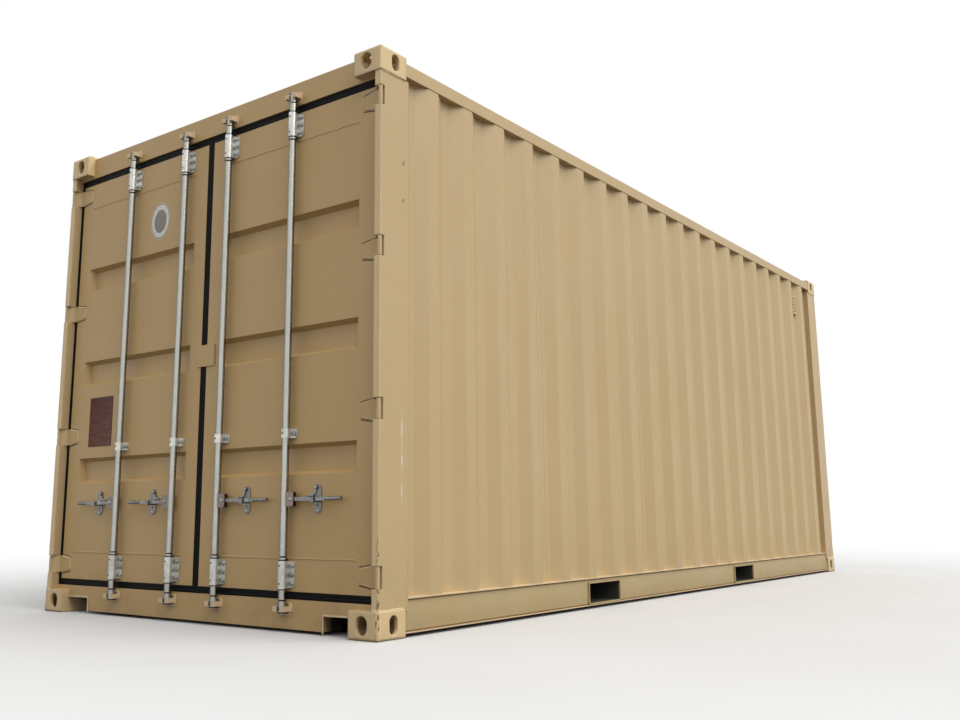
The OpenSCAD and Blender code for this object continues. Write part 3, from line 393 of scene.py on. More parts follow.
casting_marks = [
    ((0.0, 0.0, 0.0), (3.2, 1.3, 0.028), (55.0, 55.0, 55.0), 0.42, rust),
    ((-3.027, -1.217, 0.06), (0.011, 0.011, 0.10), (90.0, 90.0, 42.0), 0.47, bare_brown),
    ((-3.027, 1.217, 0.06), (0.011, 0.011, 0.10), (90.0, 90.0, 42.0), 0.42, bare_brown),
]
# Painted shade inside the castings' holes.
for casting_x in (-2.940, 2.940):
    for casting_y in (-1.138, 1.138):
        for casting_z in (0.059, 2.532):
            inside = (casting_x, casting_y, casting_z)
            casting_marks.append(whole(inside, (0.087, 0.079, 0.057), hole_shade))
casting_look = paint_look(
    "casting_paint",
    paint=(0.640, 0.470, 0.245),
    faded=(0.660, 0.490, 0.260),
    dirt=(0.24, 0.18, 0.11),
    streaks=0.22,
    low_dirt=0.4,
    dirt_height=0.16,
    waviness=0.0004,
    chips=casting_marks,
    edge=worn_edge,
)
wear(casting_look, "rear_castings", "front_castings")

half_length = 3.029
half_width = 1.219
rear_end = Matrix.Translation((-half_length, 0.0, 0.0))
front_end = Matrix.Rotation(math.pi, 4, "Z") @ rear_end
ends = {"rear": rear_end, "front": front_end}


def make_piece(name, mesh, look, body, sharp=32.0):
    """Turns drawn mesh into a named piece with its finish, riding on a body."""
    bmesh.ops.recalc_face_normals(mesh, faces=mesh.faces[:])
    data = bpy.data.meshes.new(name)
    mesh.to_mesh(data)
    mesh.free()
    data.shade_smooth()
    data.set_sharp_from_angle(angle=math.radians(sharp))
    data.materials.append(look)
    made = bpy.data.objects.new(name, data)
    bpy.context.scene.collection.objects.link(made)
    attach(made, body)
    return made


bead_step = 0.006


def weld_bead(mesh, start, stop, outward, radius):
    """A rippled bead from start to stop, its crown towards outward."""
    start = Vector(start)
    stop = Vector(stop)
    along = stop - start
    steps = max(3, int(along.length / bead_step))
    across = along.cross(Vector(outward)).normalized()
    outward = Vector(outward).normalized()
    before = None
    for i in range(steps + 1):
        swell = radius * (1.0 + 0.16 * math.sin(i * 2.1) + 0.10 * math.sin(i * 0.37 + 1.0))
        if i in (0, steps):
            swell = radius * 0.2
        drift = across * radius * 0.22 * math.sin(i * 0.21)
        middle = start + along * (i / steps) + drift
        ring = []
        for k in range(5):
            turn = math.pi * k / 4.0
            point = middle + across * swell * math.cos(turn) + outward * swell * 0.62 * math.sin(turn)
            ring.append(mesh.verts.new(point))
        if before:
            for k in range(4):
                mesh.faces.new((before[k], before[k + 1], ring[k + 1], ring[k]))
        before = ring


casting_height = 0.118
casting_length = 0.178
overall_height = 2.591
post_front = 0.006
post_side = 0.005
post_inner = 1.180
post_depth = 0.200
notch_face = 0.041
notch_low = 0.004
notch_near = 0.872
notch_far = 1.054
notch_top = 0.084
bead_inset = 0.004
casting_bead = 0.0058
notch_bead = 0.0040
notch_line = ((notch_near, notch_low), (notch_near, notch_top), (notch_far, notch_top))
corner_welds = bmesh.new()
for end in ends.values():
    outwards = end.to_3x3()
    for side in (-1.0, 1.0):
        out_y = side * (half_width - post_side)
        for z in (casting_height, overall_height - casting_height):
            weld_bead(
                corner_welds,
                end @ Vector((post_front + bead_inset, out_y, z)),
                end @ Vector((casting_length - bead_inset, out_y, z)),
                outwards @ Vector((0.0, side, 0.0)),
                casting_bead,
            )
            weld_bead(
                corner_welds,
                end @ Vector((post_front, out_y - side * bead_inset, z)),
                end @ Vector((post_front, side * post_inner, z)),
                outwards @ Vector((-1.0, 0.0, 0.0)),
                casting_bead,
            )
        for (y0, z0), (y1, z1) in zip(notch_line, notch_line[1:]):
            weld_bead(
                corner_welds,
                end @ Vector((notch_face, side * y0, z0)),
                end @ Vector((notch_face, side * y1, z1)),
                outwards @ Vector((-1.0, 0.0, 0.0)),
                notch_bead,
            )
# A paler copy of the paint for the corner welds, the cam keepers and the bottom rails' flanges: a
# painted highlight.
pale_highlight_look = paint_look(
    "pale_highlight_paint",
    paint=(0.640, 0.480, 0.290),
    faded=(0.660, 0.500, 0.310),
    dirt=(0.20, 0.15, 0.09),
    streaks=0.10,
    low_dirt=0.2,
    dirt_height=0.40,
    waviness=0.0002,
)
make_piece("corner_welds", corner_welds, pale_highlight_look, "frame")

# Header and sill: folded and welded beams between the castings, in the shade of the
# door end. Their paint is a deeper, more saturated copy of the side paint: painted shade.
# The sill's notches hold painted shade inside, and the cam keepers on both beams take
# the welds' paler paint as a painted highlight.
end_dirt = (0.17, 0.125, 0.07)
# A deeper, more saturated copy of the side paint: painted shade of the door end.
shaded_end_coat = {
    "paint": (0.485, 0.315, 0.127),
    "faded": (0.500, 0.330, 0.139),
    "dirt": end_dirt,
    "streaks": 0.10,
    "low_dirt": 0.35,
    "dirt_height": 0.40,
    "waviness": 0.0006,
}
notch_shade = (0.022, 0.019, 0.014)
wear(paint_look("end_paint", **shaded_end_coat), "rear_header", "front_header")
# Painted shade inside the sill's notches.
notch_shades = []
for notch_x in (-2.895, 2.895):
    for notch_y in (-0.963, 0.963):
        notch_shades.append(whole((notch_x, notch_y, 0.04), (0.085, 0.16, 0.12), notch_shade))
wear(paint_look("shaded_sill_paint", **shaded_end_coat, chips=notch_shades), "rear_sill", "front_sill")
wear(pale_highlight_look, "rear_keepers", "front_keepers")

# Side walls: five corrugated sheets butt-welded to each other in the inner flats, and
# seam-welded along the rails.
wall_face = 0.006
wall_depth = 0.036
wall_pitch = 0.278
wall_flat = 0.072
wall_slope = 0.068
wall_waves = 20
wall_bottom = 0.162
wall_top = 2.497
sheet_seams = (-1.668, -0.556, 0.556, 1.668)
sheet_bead = 0.0030
foot_bead = 0.0035
wall_welds = bmesh.new()
for side in (-1.0, 1.0):
    sunk = side * (half_width - wall_face - wall_depth)
    proud = side * (half_width - wall_face)
    for x in sheet_seams:
        weld_bead(wall_welds, (x, sunk, wall_bottom), (x, sunk, wall_top), (0.0, side, 0.0), sheet_bead)
    line = [(-(half_length - post_depth), sunk)]
    for i in range(wall_waves):
        middle = (i + 0.5 - wall_waves / 2.0) * wall_pitch
        line.append((middle - wall_flat / 2.0 - wall_slope, sunk))
        line.append((middle - wall_flat / 2.0, proud))
        line.append((middle + wall_flat / 2.0, proud))
        line.append((middle + wall_flat / 2.0 + wall_slope, sunk))
    line.append((half_length - post_depth, sunk))
    for (x0, y0), (x1, y1) in zip(line, line[1:]):
        foot = (x0, y0, wall_bottom)
        weld_bead(wall_welds, foot, (x1, y1, wall_bottom), (0.0, side, 1.0), foot_bead)
make_piece("wall_welds", wall_welds, side_look, "frame")

# Bottom rails: the outer web of each rail, a rolled sheet just inside the flange edges,
# which stops at the forklift mouths and runs over them in a narrow strip.
web_crown = ((1.1915, 0.1575), (1.1990, 0.1565), (1.2040, 0.1535), (1.2065, 0.1490))
web_foot = ((1.2065, 0.0300), (1.2040, 0.0260), (1.1990, 0.0235), (1.1915, 0.0225))
web_full = web_crown + web_foot
web_over_mouth = web_crown + ((1.2065, 0.1395),)
web_by_casting = ((1.2065, 0.1175),) + web_foot
web_runs = (
    (-2.851, -2.829, web_by_casting),
    (-2.829, -1.301, web_full),
    (-1.301, -0.945, web_over_mouth),
    (-0.945, 0.754, web_full),
    (0.754, 1.110, web_over_mouth),
    (1.110, 2.829, web_full),
    (2.829, 2.851, web_by_casting),
)
web_sheet = 0.003
rail_webs = bmesh.new()
for side in (-1.0, 1.0):
    for x0, x1, section in web_runs:
        loop = list(section) + [(y - web_sheet, z) for y, z in reversed(section)]
        near = [rail_webs.verts.new((x0, side * y, z)) for y, z in loop]
        far = [rail_webs.verts.new((x1, side * y, z)) for y, z in loop]
        for k in range(len(loop)):
            n = (k + 1) % len(loop)
            rail_webs.faces.new((near[k], near[n], far[n], far[k]))
        rail_webs.faces.new(near)
        rail_webs.faces.new(far)
# The web's paint is darker than the side paint: painted shade under the flange.
shaded_web_look = paint_look(
    "shaded_web_paint",
    paint=(0.375, 0.275, 0.126),
    faded=(0.400, 0.295, 0.140),
    dirt=(0.19, 0.15, 0.09),
    streaks=0.10,
    low_dirt=0.30,
    dirt_height=0.30,
    waviness=0.0008,
)
make_piece("rail_webs", rail_webs, shaded_web_look, "frame")
# The rails' flange edges take the paler paint as a painted highlight.
wear(pale_highlight_look, "bottom_rails")

# Base: cross members under a dull dark coating, forklift pockets near-black inside as
# painted shade and sprayed tan at their mouths, and a floor of oiled plywood sheets
# screwed down to the members.
base_look = paint_look(
    "base_coating",
    paint=(0.085, 0.080, 0.072),
    faded=(0.13, 0.115, 0.095),
    dirt=(0.20, 0.16, 0.11),
    streaks=0.15,
    low_dirt=0.6,
    dirt_height=0.2,
    waviness=0.0006,
    chips=(((0.0, 0.0, 0.05), (3.2, 1.3, 0.12), (24.0, 24.0, 24.0), 0.30, rust),),
)
wear(base_look, "cross_members")
pocket_mouths = []
for mouth_x in (-1.123, 0.932):
    for mouth_y in (-1.216, 1.216):
        pocket_mouths.append(whole((mouth_x, mouth_y, 0.08), (0.30, 0.016, 0.12), side_tan))
# Near-black inside the pockets: painted shade.
pocket_shade_look = paint_look(
    "pocket_shade_coating",
    paint=(0.030, 0.030, 0.026),
    faded=(0.050, 0.050, 0.042),
    dirt=(0.17, 0.165, 0.13),
    streaks=0.15,
    low_dirt=0.9,
    dirt_height=0.06,
    waviness=0.0006,
    chips=pocket_mouths,
)
wear(pocket_shade_look, "forklift_pockets")
floor_wood, wood, wood_shader = new_look("plywood")
wood_at = place_in(wood)
wood_seams = wood.nodes.new("ShaderNodeTexBrick")
wood_seams.offset = 0.5
wood_seams.inputs["Scale"].default_value = 1.0
wood_seams.inputs["Brick Width"].default_value = 2.40
wood_seams.inputs["Row Height"].default_value = 1.16
wood_seams.inputs["Mortar Size"].default_value = 0.006
wood_seams.inputs["Color1"].default_value = (0.30, 0.155, 0.075, 1.0)
wood_seams.inputs["Color2"].default_value = (0.25, 0.125, 0.06, 1.0)
wood_seams.inputs["Mortar"].default_value = (0.02, 0.012, 0.008, 1.0)
wood.links.new(wood_at, wood_seams.inputs["Vector"])
wood_streaks = place_maths(wood, "MULTIPLY", wood_at, (3.0, 60.0, 60.0))
wood_grain = noise(wood, wood_streaks, 1.0, 7.0, 0.65)
wood_dark = spread(wood, wood_grain, 0.45, 0.75, 0.0, 0.6)
wood_tone = tint_over(wood, wood_dark, wood_seams.outputs["Color"], (0.12, 0.055, 0.025))
wood_worn = spread(wood, noise(wood, wood_at, 1.7, 6.0, 0.6), 0.5, 0.75, 0.0, 0.4)
wood_tone = tint_over(wood, wood_worn, wood_tone, (0.34, 0.24, 0.16))
wood.links.new(wood_tone, wood_shader.inputs["Base Color"])
wood.links.new(spread(wood, wood_grain, 0.3, 0.7, 0.5, 0.75), wood_shader.inputs["Roughness"])
raise_by(wood, wood_shader, wood_grain, 0.001)
wear(floor_wood, "floor")


def turned(mesh, place, profile, sides):
    """Revolves a profile of (radius, rise) about the place's own Z axis."""
    rings = []
    for radius, rise in profile:
        ring = []
        for k in range(sides):
            turn = 2.0 * math.pi * k / sides
            spoke = Vector((radius * math.cos(turn), radius * math.sin(turn), rise))
            ring.append(mesh.verts.new(place @ spoke))
        rings.append(ring)
    for low, high in zip(rings, rings[1:]):
        for k in range(sides):
            n = (k + 1) % sides
            mesh.faces.new((low[k], low[n], high[n], high[k]))
    mesh.faces.new(rings[0][::-1])
    mesh.faces.new(rings[-1])


floor_top = 0.167
screw_sunk = 0.0004
screw_start = 0.012
member_pitch = 0.274
screw_pitch = 0.155
screw_head = ((0.0062, 0.0), (0.0060, 0.0008), (0.0030, 0.0008), (0.0026, 0.0002))
screw_heads = bmesh.new()
for row in range(-9, 10):
    for k in range(-7, 8):
        screw_at = (row * member_pitch + screw_start, k * screw_pitch, floor_top - screw_sunk)
        turned(screw_heads, Matrix.Translation(screw_at), screw_head, 10)
screw_steel, steel, steel_shader = new_look("screw_steel")
steel_shader.inputs["Metallic"].default_value = 1.0
steel_cloud = spread(steel, noise(steel, place_in(steel), 40.0, 4.0), 0.4, 0.6)
steel_tone = tint_over(steel, steel_cloud, (0.30, 0.29, 0.27), (0.42, 0.40, 0.37))
steel.links.new(steel_tone, steel_shader.inputs["Base Color"])
steel.links.new(spread(steel, steel_cloud, 0.0, 1.0, 0.35, 0.55), steel_shader.inputs["Roughness"])
make_piece("floor_screws", screw_heads, screw_steel, "frame")

# Door leaves: pressed panels seam-welded into tube frames, painted like the end beams
# with their painted shade, with heavy beads painted pale as a painted highlight and a dark
# line round the hinge blades that is painted shadow and grime. The knuckles take the
# side paint of the posts, without that painted shade.
# Paler paint on the hinge beads: a painted highlight.
highlight_bead_look = paint_look(
    "bead_highlight_paint",
    paint=(0.560, 0.400, 0.200),
    faded=(0.590, 0.430, 0.230),
    dirt=end_dirt,
    streaks=0.10,
    low_dirt=0.2,
    dirt_height=0.40,
    waviness=0.0002,
)
# A dark line beside the hinge beads: painted shadow, and grime that gathers there.
bead_shadow_grime_look = paint_look(
    "bead_shadow_and_grime",
    paint=(0.075, 0.050, 0.025),
    faded=(0.11, 0.075, 0.04),
    dirt=(0.05, 0.035, 0.02),
    streaks=0.30,
    low_dirt=0.5,
    dirt_height=0.40,
    waviness=0.0004,
)
knuckles = []
for knuckle_x in (-3.0, 3.0):
    for knuckle_y in (-1.19, 1.19):
        knuckles.append(whole((knuckle_x, knuckle_y, 1.3), (0.3, 0.037, 5.0), side_tan))
leaf_look = paint_look("shaded_leaf_paint", **shaded_end_coat, chips=knuckles)
leaf_face = 0.052
panel_low = 0.318
panel_high = 2.278
panel_in = 0.111
panel_out = 1.051
panel_bead = 0.0042
leaf_out = 1.151
hinge_heights = (0.252, 0.948, 1.658, 2.354)
pad_tip = 1.074
pad_root_half = 0.0433
pad_tip_half = 0.030
pad_bead = 0.0070
pad_bead_off = 0.001
tip_bead = 0.0060
shadow_grime_bead = 0.0032
shadow_grime_root_off = 0.007
shadow_grime_tip_off = 0.008
shadow_grime_short = 0.006
leaves = []
for end_name, end in ends.items():
    leaves.append((end_name + "_left", end, 1.0))
    leaves.append((end_name + "_right", end, -1.0))
for leaf, end, side in leaves:
    door = leaf + "_door"
    outwards = end.to_3x3()
    wear(leaf_look, door)
    seams = bmesh.new()
    beads = bmesh.new()
    bead_shadow_and_grime = bmesh.new()
    for z in hinge_heights:
        for rise in (-1.0, 1.0):
            weld_bead(
                beads,
                end @ Vector((leaf_face, side * leaf_out, z + rise * (pad_root_half + pad_bead_off))),
                end @ Vector((leaf_face, side * pad_tip, z + rise * (pad_tip_half + pad_bead_off))),
                outwards @ Vector((-1.0, 0.0, rise)),
                pad_bead,
            )
            shadow_grime_tip = side * (pad_tip - shadow_grime_short)
            weld_bead(
                bead_shadow_and_grime,
                end @ Vector((leaf_face, side * leaf_out, z + rise * (pad_root_half + shadow_grime_root_off))),
                end @ Vector((leaf_face, shadow_grime_tip, z + rise * (pad_tip_half + shadow_grime_tip_off))),
                outwards @ Vector((-1.0, 0.0, 0.0)),
                shadow_grime_bead,
            )
        weld_bead(
            beads,
            end @ Vector((leaf_face, side * pad_tip, z - pad_tip_half)),
            end @ Vector((leaf_face, side * pad_tip, z + pad_tip_half)),
            outwards @ Vector((-1.0, -side, 0.0)),
            tip_bead,
        )
    make_piece(door + "_hinge_beads", beads, highlight_bead_look, door)
    make_piece(door + "_hinge_shadow_grime", bead_shadow_and_grime, bead_shadow_grime_look, door)
    for z in (panel_low, panel_high):
        weld_bead(
            seams,
            end @ Vector((leaf_face, side * panel_in, z)),
            end @ Vector((leaf_face, side * panel_out, z)),
            outwards @ Vector((-1.0, 0.0, 0.0)),
            panel_bead,
        )
    make_piece(door + "_seams", seams, leaf_look, door)

# Data plate: a blank brown-enamelled plate with a pressed rim on the rear left leaf, and
# above it a blank oval transfer in white and grey.
plate_low = 0.885
plate_high = 1.157
plate_near = 0.756
plate_far = 0.969
rim_profile = ((0.0, 0.0), (0.0, 0.0014), (0.003, 0.0022), (0.007, 0.0022), (0.009, 0.0012))
plate = bmesh.new()
plate_rings = []
for inset, rise in rim_profile:
    plate_corners = (
        (plate_near + inset, plate_low + inset),
        (plate_far - inset, plate_low + inset),
        (plate_far - inset, plate_high - inset),
        (plate_near + inset, plate_high - inset),
    )
    plate_x = leaf_face - rise
    plate_rings.append([plate.verts.new(rear_end @ Vector((plate_x, y, z))) for y, z in plate_corners])
for inner, outer in zip(plate_rings, plate_rings[1:]):
    for k in range(4):
        n = (k + 1) % 4
        plate.faces.new((inner[k], inner[n], outer[n], outer[k]))
plate.faces.new(plate_rings[-1])
enamel, fired, fired_shader = new_look("brown_enamel")
fired_shader.inputs["Specular IOR Level"].default_value = 0.2
fired_at = place_in(fired)
fired_streaks = place_maths(fired, "MULTIPLY", fired_at, (9.0, 9.0, 60.0))
fired_cloud = spread(fired, noise(fired, fired_streaks, 1.0, 4.0), 0.35, 0.65)
fired_tone = tint_over(fired, fired_cloud, (0.125, 0.040, 0.024), (0.092, 0.034, 0.022))
fired.links.new(fired_tone, fired_shader.inputs["Base Color"])
fired.links.new(spread(fired, fired_cloud, 0.0, 1.0, 0.42, 0.58), fired_shader.inputs["Roughness"])
raise_by(fired, fired_shader, noise(fired, fired_at, 130.0, 3.0), 0.0002)
make_piece("data_plate", plate, enamel, "rear_left_door")
label_y = 0.411
label_z = 2.080
label_half_wide = 0.0815
label_half_high = 0.1015
label_profile = ((1.0, 0.0), (1.0, 0.0003), (0.985, 0.0005))
label_pale = (0.74, 0.73, 0.68)
label_yellowed = (0.58, 0.55, 0.47)
label_ink = (0.20, 0.18, 0.14)
label_middle = (0.22, 0.20, 0.16)
facing_out = Matrix.Rotation(-math.pi / 2.0, 4, "Y")
label = bmesh.new()
label_place = rear_end @ Matrix.Translation((leaf_face, label_y, label_z)) @ facing_out
label_oval = Matrix.Diagonal((label_half_high, label_half_wide, 1.0, 1.0))
turned(label, label_place @ label_oval, label_profile, 72)
vinyl, sheet, sheet_shader = new_look("plain_transfer")
sheet_at = place_in(sheet)
sheet_from = place_maths(sheet, "SUBTRACT", sheet_at, label_place.translation)
label_scale = (0.0, 1.0 / label_half_wide, 1.0 / label_half_high)
sheet_far = length_of(sheet, place_maths(sheet, "MULTIPLY", sheet_from, label_scale))
sheet_worn = spread(sheet, noise(sheet, sheet_at, 60.0, 5.0, 0.6), 0.35, 0.70)
sheet_pale = tint_over(sheet, sheet_worn, label_pale, label_yellowed)
sheet_tone = tint_over(sheet, spread(sheet, sheet_far, 0.90, 0.93), sheet_pale, label_ink)
sheet_tone = tint_over(sheet, spread(sheet, sheet_far, 0.96, 0.98), sheet_tone, sheet_pale)
sheet_tone = tint_over(sheet, spread(sheet, sheet_far, 0.66, 0.62), sheet_tone, label_middle)
sheet.links.new(sheet_tone, sheet_shader.inputs["Base Color"])
sheet.links.new(spread(sheet, sheet_worn, 0.0, 1.0, 0.35, 0.6), sheet_shader.inputs["Roughness"])
raise_by(sheet, sheet_shader, sheet_worn, 0.0001)
make_piece("round_label", label, vinyl, "rear_left_door")

# Door seals: black extruded rubber round each leaf, with two soft lips that bear on the
# posts, the beams and the other leaf.
rubber, gum, gum_shader = new_look("black_rubber")
gum_shader.inputs["Specular IOR Level"].default_value = 0.08
gum_at = place_in(gum)
gum_dust = spread(gum, noise(gum, gum_at, 9.0, 6.0, 0.65), 0.5, 0.85, 0.0, 0.2)
gum_tone = tint_over(gum, gum_dust, (0.0035, 0.0035, 0.004), (0.035, 0.030, 0.025))
gum.links.new(gum_tone, gum_shader.inputs["Base Color"])
gum.links.new(spread(gum, gum_dust, 0.0, 0.2, 0.5, 0.75), gum_shader.inputs["Roughness"])
raise_by(gum, gum_shader, noise(gum, gum_at, 120.0, 3.0), 0.0003)
seal_face = 0.054
leaf_in = 0.023
leaf_low = 0.175
leaf_high = 2.421
gap_side = 0.0285
gap_middle = 0.0227
gap_low = 0.034
gap_high = 0.038
lip_crown = 0.0015
lip_share = 0.36
lip_starts = (0.08, 0.56)
lip_steps = 8


def swept_frame(mesh, place, y0, y1, z0, z1, profile, gaps):
    """Sweeps a profile of (share of the gap, height over the seal) round a leaf."""
    rows = []
    for share, rise in profile:
        low_y = y0 - gaps[0] * share
        high_y = y1 + gaps[1] * share
        low_z = z0 - gaps[2] * share
        high_z = z1 + gaps[3] * share
        x = seal_face - rise
        corners = ((low_y, low_z), (high_y, low_z), (high_y, high_z), (low_y, high_z))
        rows.append([mesh.verts.new(place @ Vector((x, y, z))) for y, z in corners])
    for inner, outer in zip(rows, rows[1:]):
        for k in range(4):
            n = (k + 1) % 4
            mesh.faces.new((inner[k], inner[n], outer[n], outer[k]))


lip_profile = []
for lip_start in lip_starts:
    for k in range(lip_steps + 1):
        lip_rise = lip_crown * math.sin(math.pi * k / lip_steps)
        lip_profile.append((lip_start + lip_share * k / lip_steps, lip_rise))
for leaf, end, side in leaves:
    wear(rubber, leaf + "_gasket")
    y_low, y_high = leaf_in, leaf_out
    gaps = (gap_middle, gap_side, gap_low, gap_high)
    if side < 0:
        y_low, y_high = -leaf_out, -leaf_in
        gaps = (gap_side, gap_middle, gap_low, gap_high)
    lips = bmesh.new()
    swept_frame(lips, end, y_low, y_high, leaf_low, leaf_high, lip_profile, gaps)
    make_piece(leaf + "_door_lips", lips, rubber, leaf + "_door", 60.0)

# Lock gear: hot-dip galvanised rods, brackets, handles and catches, with a grey spangle
# and white rust. Fine lines of painted shade mark where sleeves and collars meet the rods,
# and the rods' edges turn dark as a painted reflection.
spangle, spangle_in, spangle_out = open_group(
    "zinc_spangle",
    (
        (TINT, "Bright", (0.62, 0.63, 0.62, 1.0)),
        (TINT, "Grey", (0.36, 0.37, 0.38, 1.0)),
        (NUMBER, "Flake", 90.0),
        (NUMBER, "Satin", 0.30),
        (NUMBER, "Pits", 0.00010),
    ),
    ((TINT, "Color"), (NUMBER, "Roughness"), (NUMBER, "Height")),
)
flake_share = 0.45
cloud_share = 0.55
spangle_at = place_in(spangle)
spangle_flake = spangle.nodes.new("ShaderNodeTexVoronoi")
spangle.links.new(spangle_at, spangle_flake.inputs["Vector"])
spangle.links.new(spangle_in.outputs["Flake"], spangle_flake.inputs["Scale"])
spangle_grey = spangle.nodes.new("ShaderNodeSeparateColor")
spangle.links.new(spangle_flake.outputs["Color"], spangle_grey.inputs[0])
spangle_cloud = spread(spangle, noise(spangle, spangle_at, 13.0, 6.0, 0.6), 0.36, 0.66)
spangle_cloud = maths(spangle, "MULTIPLY", spangle_cloud, cloud_share)
spangle_part = maths(spangle, "MULTIPLY", spangle_grey.outputs["Red"], flake_share)
spangle_part = maths(spangle, "ADD", spangle_part, spangle_cloud)
spangle_tone = tint_over(spangle, spangle_part, spangle_in.outputs["Bright"], spangle_in.outputs["Grey"])
spangle.links.new(spangle_tone, spangle_out.inputs["Color"])
spangle_satin = spread(spangle, spangle_part, 0.1, 0.9, 0.0, 0.20)
spangle_satin = maths(spangle, "ADD", spangle_satin, spangle_in.outputs["Satin"])
spangle.links.new(spangle_satin, spangle_out.inputs["Roughness"])
spangle_pit = noise(spangle, spangle_at, 160.0, 4.0)
spangle_pit = maths(spangle, "MULTIPLY", spangle_pit, spangle_in.outputs["Pits"])
spangle.links.new(spangle_pit, spangle_out.inputs["Height"])


def zinc_look(name, bright, grey, flake, satin, pits, metallic, patches=(), rim=None):
    """Galvanised steel from the spangle group, with patches of lay_patches.

    Rim is the dark colour that a rod turns to where it is seen edge-on: a painted reflection.
    """
    look, tree, shader = new_look(name)
    shader.inputs["Metallic"].default_value = metallic
    coat = tree.nodes.new("ShaderNodeGroup")
    coat.node_tree = spangle
    coat.inputs["Bright"].default_value = (*bright, 1.0)
    coat.inputs["Grey"].default_value = (*grey, 1.0)
    coat.inputs["Flake"].default_value = flake
    coat.inputs["Satin"].default_value = satin
    coat.inputs["Pits"].default_value = pits
    tone = lay_patches(tree, coat.outputs["Color"], patches)
    # Painted reflection: the rods darken towards their edges.
    if rim:
        edge = tree.nodes.new("ShaderNodeLayerWeight")
        edge.inputs["Blend"].default_value = 0.5
        turned_away = spread(tree, edge.outputs["Facing"], 0.12, 0.60, 0.0, 0.88)
        tone = tint_over(tree, turned_away, tone, rim)
    tree.links.new(tone, shader.inputs["Base Color"])
    tree.links.new(coat.outputs["Roughness"], shader.inputs["Roughness"])
    raise_by(tree, shader, coat.outputs["Height"], 1.0)
    return look


all_over = 99.0
joint_reach = 0.0040
joint_shade = (0.030, 0.030, 0.030)
catch_grey = (0.20, 0.20, 0.19)
hub_brown = (0.27, 0.20, 0.165)
hub_reach = 0.036
gear_reach = 0.12
catch_band = 0.58
handle_height = 0.578
rod_lines = (-0.684, -0.219, 0.219, 0.684)
collar_heights = (0.085, 0.138, 0.3255, 2.2775, 2.466, 2.519)
sleeve_heights = (0.3115, 2.2915, 0.1835, 2.4195)
rod_joints = []
# Painted shade where collars and sleeves meet the rods.
for z in collar_heights:
    rod_joints.append(whole((0.0, 0.0, z), (all_over, all_over, joint_reach), joint_shade))
for y in rod_lines:
    rod_joints.append(whole((0.0, y, handle_height), (all_over, hub_reach, gear_reach), hub_brown))
sleeve_joints = [whole((0.0, 0.0, catch_band), (all_over, all_over, gear_reach), catch_grey)]
for z in sleeve_heights:
    sleeve_joints.append(whole((0.0, 0.0, z), (all_over, all_over, joint_reach), joint_shade))
rod_zinc = zinc_look(
    "bright_zinc",
    bright=(0.52, 0.52, 0.48),
    grey=(0.44, 0.44, 0.41),
    flake=260.0,
    satin=0.16,
    pits=0.00002,
    metallic=1.0,
    patches=rod_joints,
    rim=(0.13, 0.13, 0.12),
)
plate_zinc = zinc_look(
    "bracket_zinc",
    bright=(0.74, 0.74, 0.70),
    grey=(0.46, 0.46, 0.43),
    flake=80.0,
    satin=0.24,
    pits=0.00006,
    metallic=0.9,
    patches=sleeve_joints,
)
cast_zinc = zinc_look(
    "cast_zinc",
    bright=(0.32, 0.32, 0.31),
    grey=(0.16, 0.16, 0.155),
    flake=70.0,
    satin=0.26,
    pits=0.0001,
    metallic=0.9,
)
for leaf, end, side in leaves:
    wear(plate_zinc, leaf + "_fittings")
    for row in ("_inner", "_outer"):
        wear(rod_zinc, leaf + row + "_rod")
        wear(cast_zinc, leaf + row + "_handle", leaf + row + "_flap")

# Bolts and rivets of the lock gear: zinc-plated hex bolts with washers through the
# bracket flanges, rubber plugs in the sleeves, and domed rivets through the hubs, the
# catches and the flap pins.
bolt_zinc = zinc_look(
    "bolt_zinc",
    bright=(0.46, 0.46, 0.44),
    grey=(0.26, 0.26, 0.25),
    flake=160.0,
    satin=0.22,
    pits=0.00004,
    metallic=0.9,
)
washer = ((0.0125, 0.0), (0.0125, 0.0016), (0.0118, 0.0020))
hex_head = ((0.0092, 0.0020), (0.0092, 0.0072), (0.0080, 0.0084))
dome = ((0.0092, 0.0), (0.0090, 0.0012), (0.0078, 0.0030), (0.0055, 0.0043), (0.0026, 0.0049))
plug = ((0.0042, 0.0), (0.0042, 0.0006), (0.0030, 0.0009))
washer_sides = 20
dome_sides = 18
plug_sides = 14
first_turn = 0.2
next_turn = 0.61
bracket_face = 0.046
bolt_far = -0.036
bolt_near = 0.034
bracket_heights = (0.248, 2.355)
bracket_middle = 0.873
bolt_rise = 0.039
rod_places = {"_inner": 0.173, "_outer": 0.638}
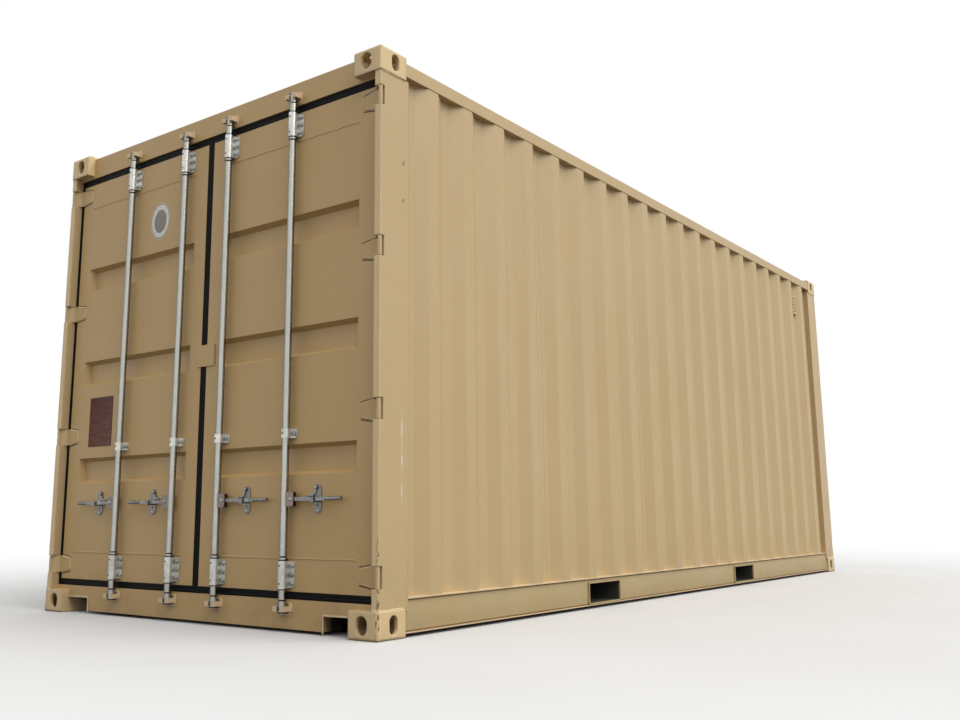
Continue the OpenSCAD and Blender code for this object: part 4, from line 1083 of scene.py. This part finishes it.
hub_front = 0.0125
hub_back = 0.0335
hub_rivet = 0.046
catch_place = 0.184
catch_face = 0.048
catch_rivet_drop = 0.051
flap_pin_face = 0.0404
flap_pin_place = 0.176
flap_pin_height = 0.628
flap_pin_share = 0.72
sleeve_front = 0.0015
for leaf, end, side in leaves:
    bolts = bmesh.new()
    plugs = bmesh.new()
    turn = first_turn
    for row, reach in rod_places.items():
        places = [(bolt_far, bracket_middle), (bolt_near, bracket_middle)]
        plug_heights = [bracket_middle]
        for z in bracket_heights:
            places += [(bolt_far, z - bolt_rise), (bolt_far, z), (bolt_far, z + bolt_rise)]
            places += [(bolt_near, z - bolt_rise), (bolt_near, z + bolt_rise)]
            plug_heights += [z - bolt_rise, z + bolt_rise]
        for shift, z in places:
            spot = end @ Matrix.Translation((bracket_face, side * reach + shift, z)) @ facing_out
            turned(bolts, spot, washer, washer_sides)
            turned(bolts, spot @ Matrix.Rotation(turn, 4, "Z"), hex_head, 6)
            turn += next_turn
        y = side * (reach + catch_place)
        low = end @ Matrix.Translation((catch_face, y, handle_height - catch_rivet_drop)) @ facing_out
        turned(bolts, low, dome, dome_sides)
        y = side * (reach + flap_pin_place)
        pin = end @ Matrix.Translation((flap_pin_face, y, flap_pin_height)) @ facing_out
        turned(bolts, pin @ Matrix.Scale(flap_pin_share, 4), dome, dome_sides)
        for z in plug_heights:
            spot = end @ Matrix.Translation((sleeve_front, side * reach, z)) @ facing_out
            turned(plugs, spot, plug, plug_sides)
        hub = bmesh.new()
        y = side * (reach + hub_rivet)
        front = end @ Matrix.Translation((hub_front, y, handle_height)) @ facing_out
        back = end @ Matrix.Translation((hub_back, y, handle_height)) @ facing_out.inverted()
        turned(hub, front, dome, dome_sides)
        turned(hub, back, dome, dome_sides)
        rod = leaf + row + "_rod"
        make_piece(rod + "_rivet", hub, bolt_zinc, rod)
    make_piece(leaf + "_door_bolts", bolts, bolt_zinc, leaf + "_door")
    make_piece(leaf + "_door_plugs", plugs, rubber, leaf + "_door")
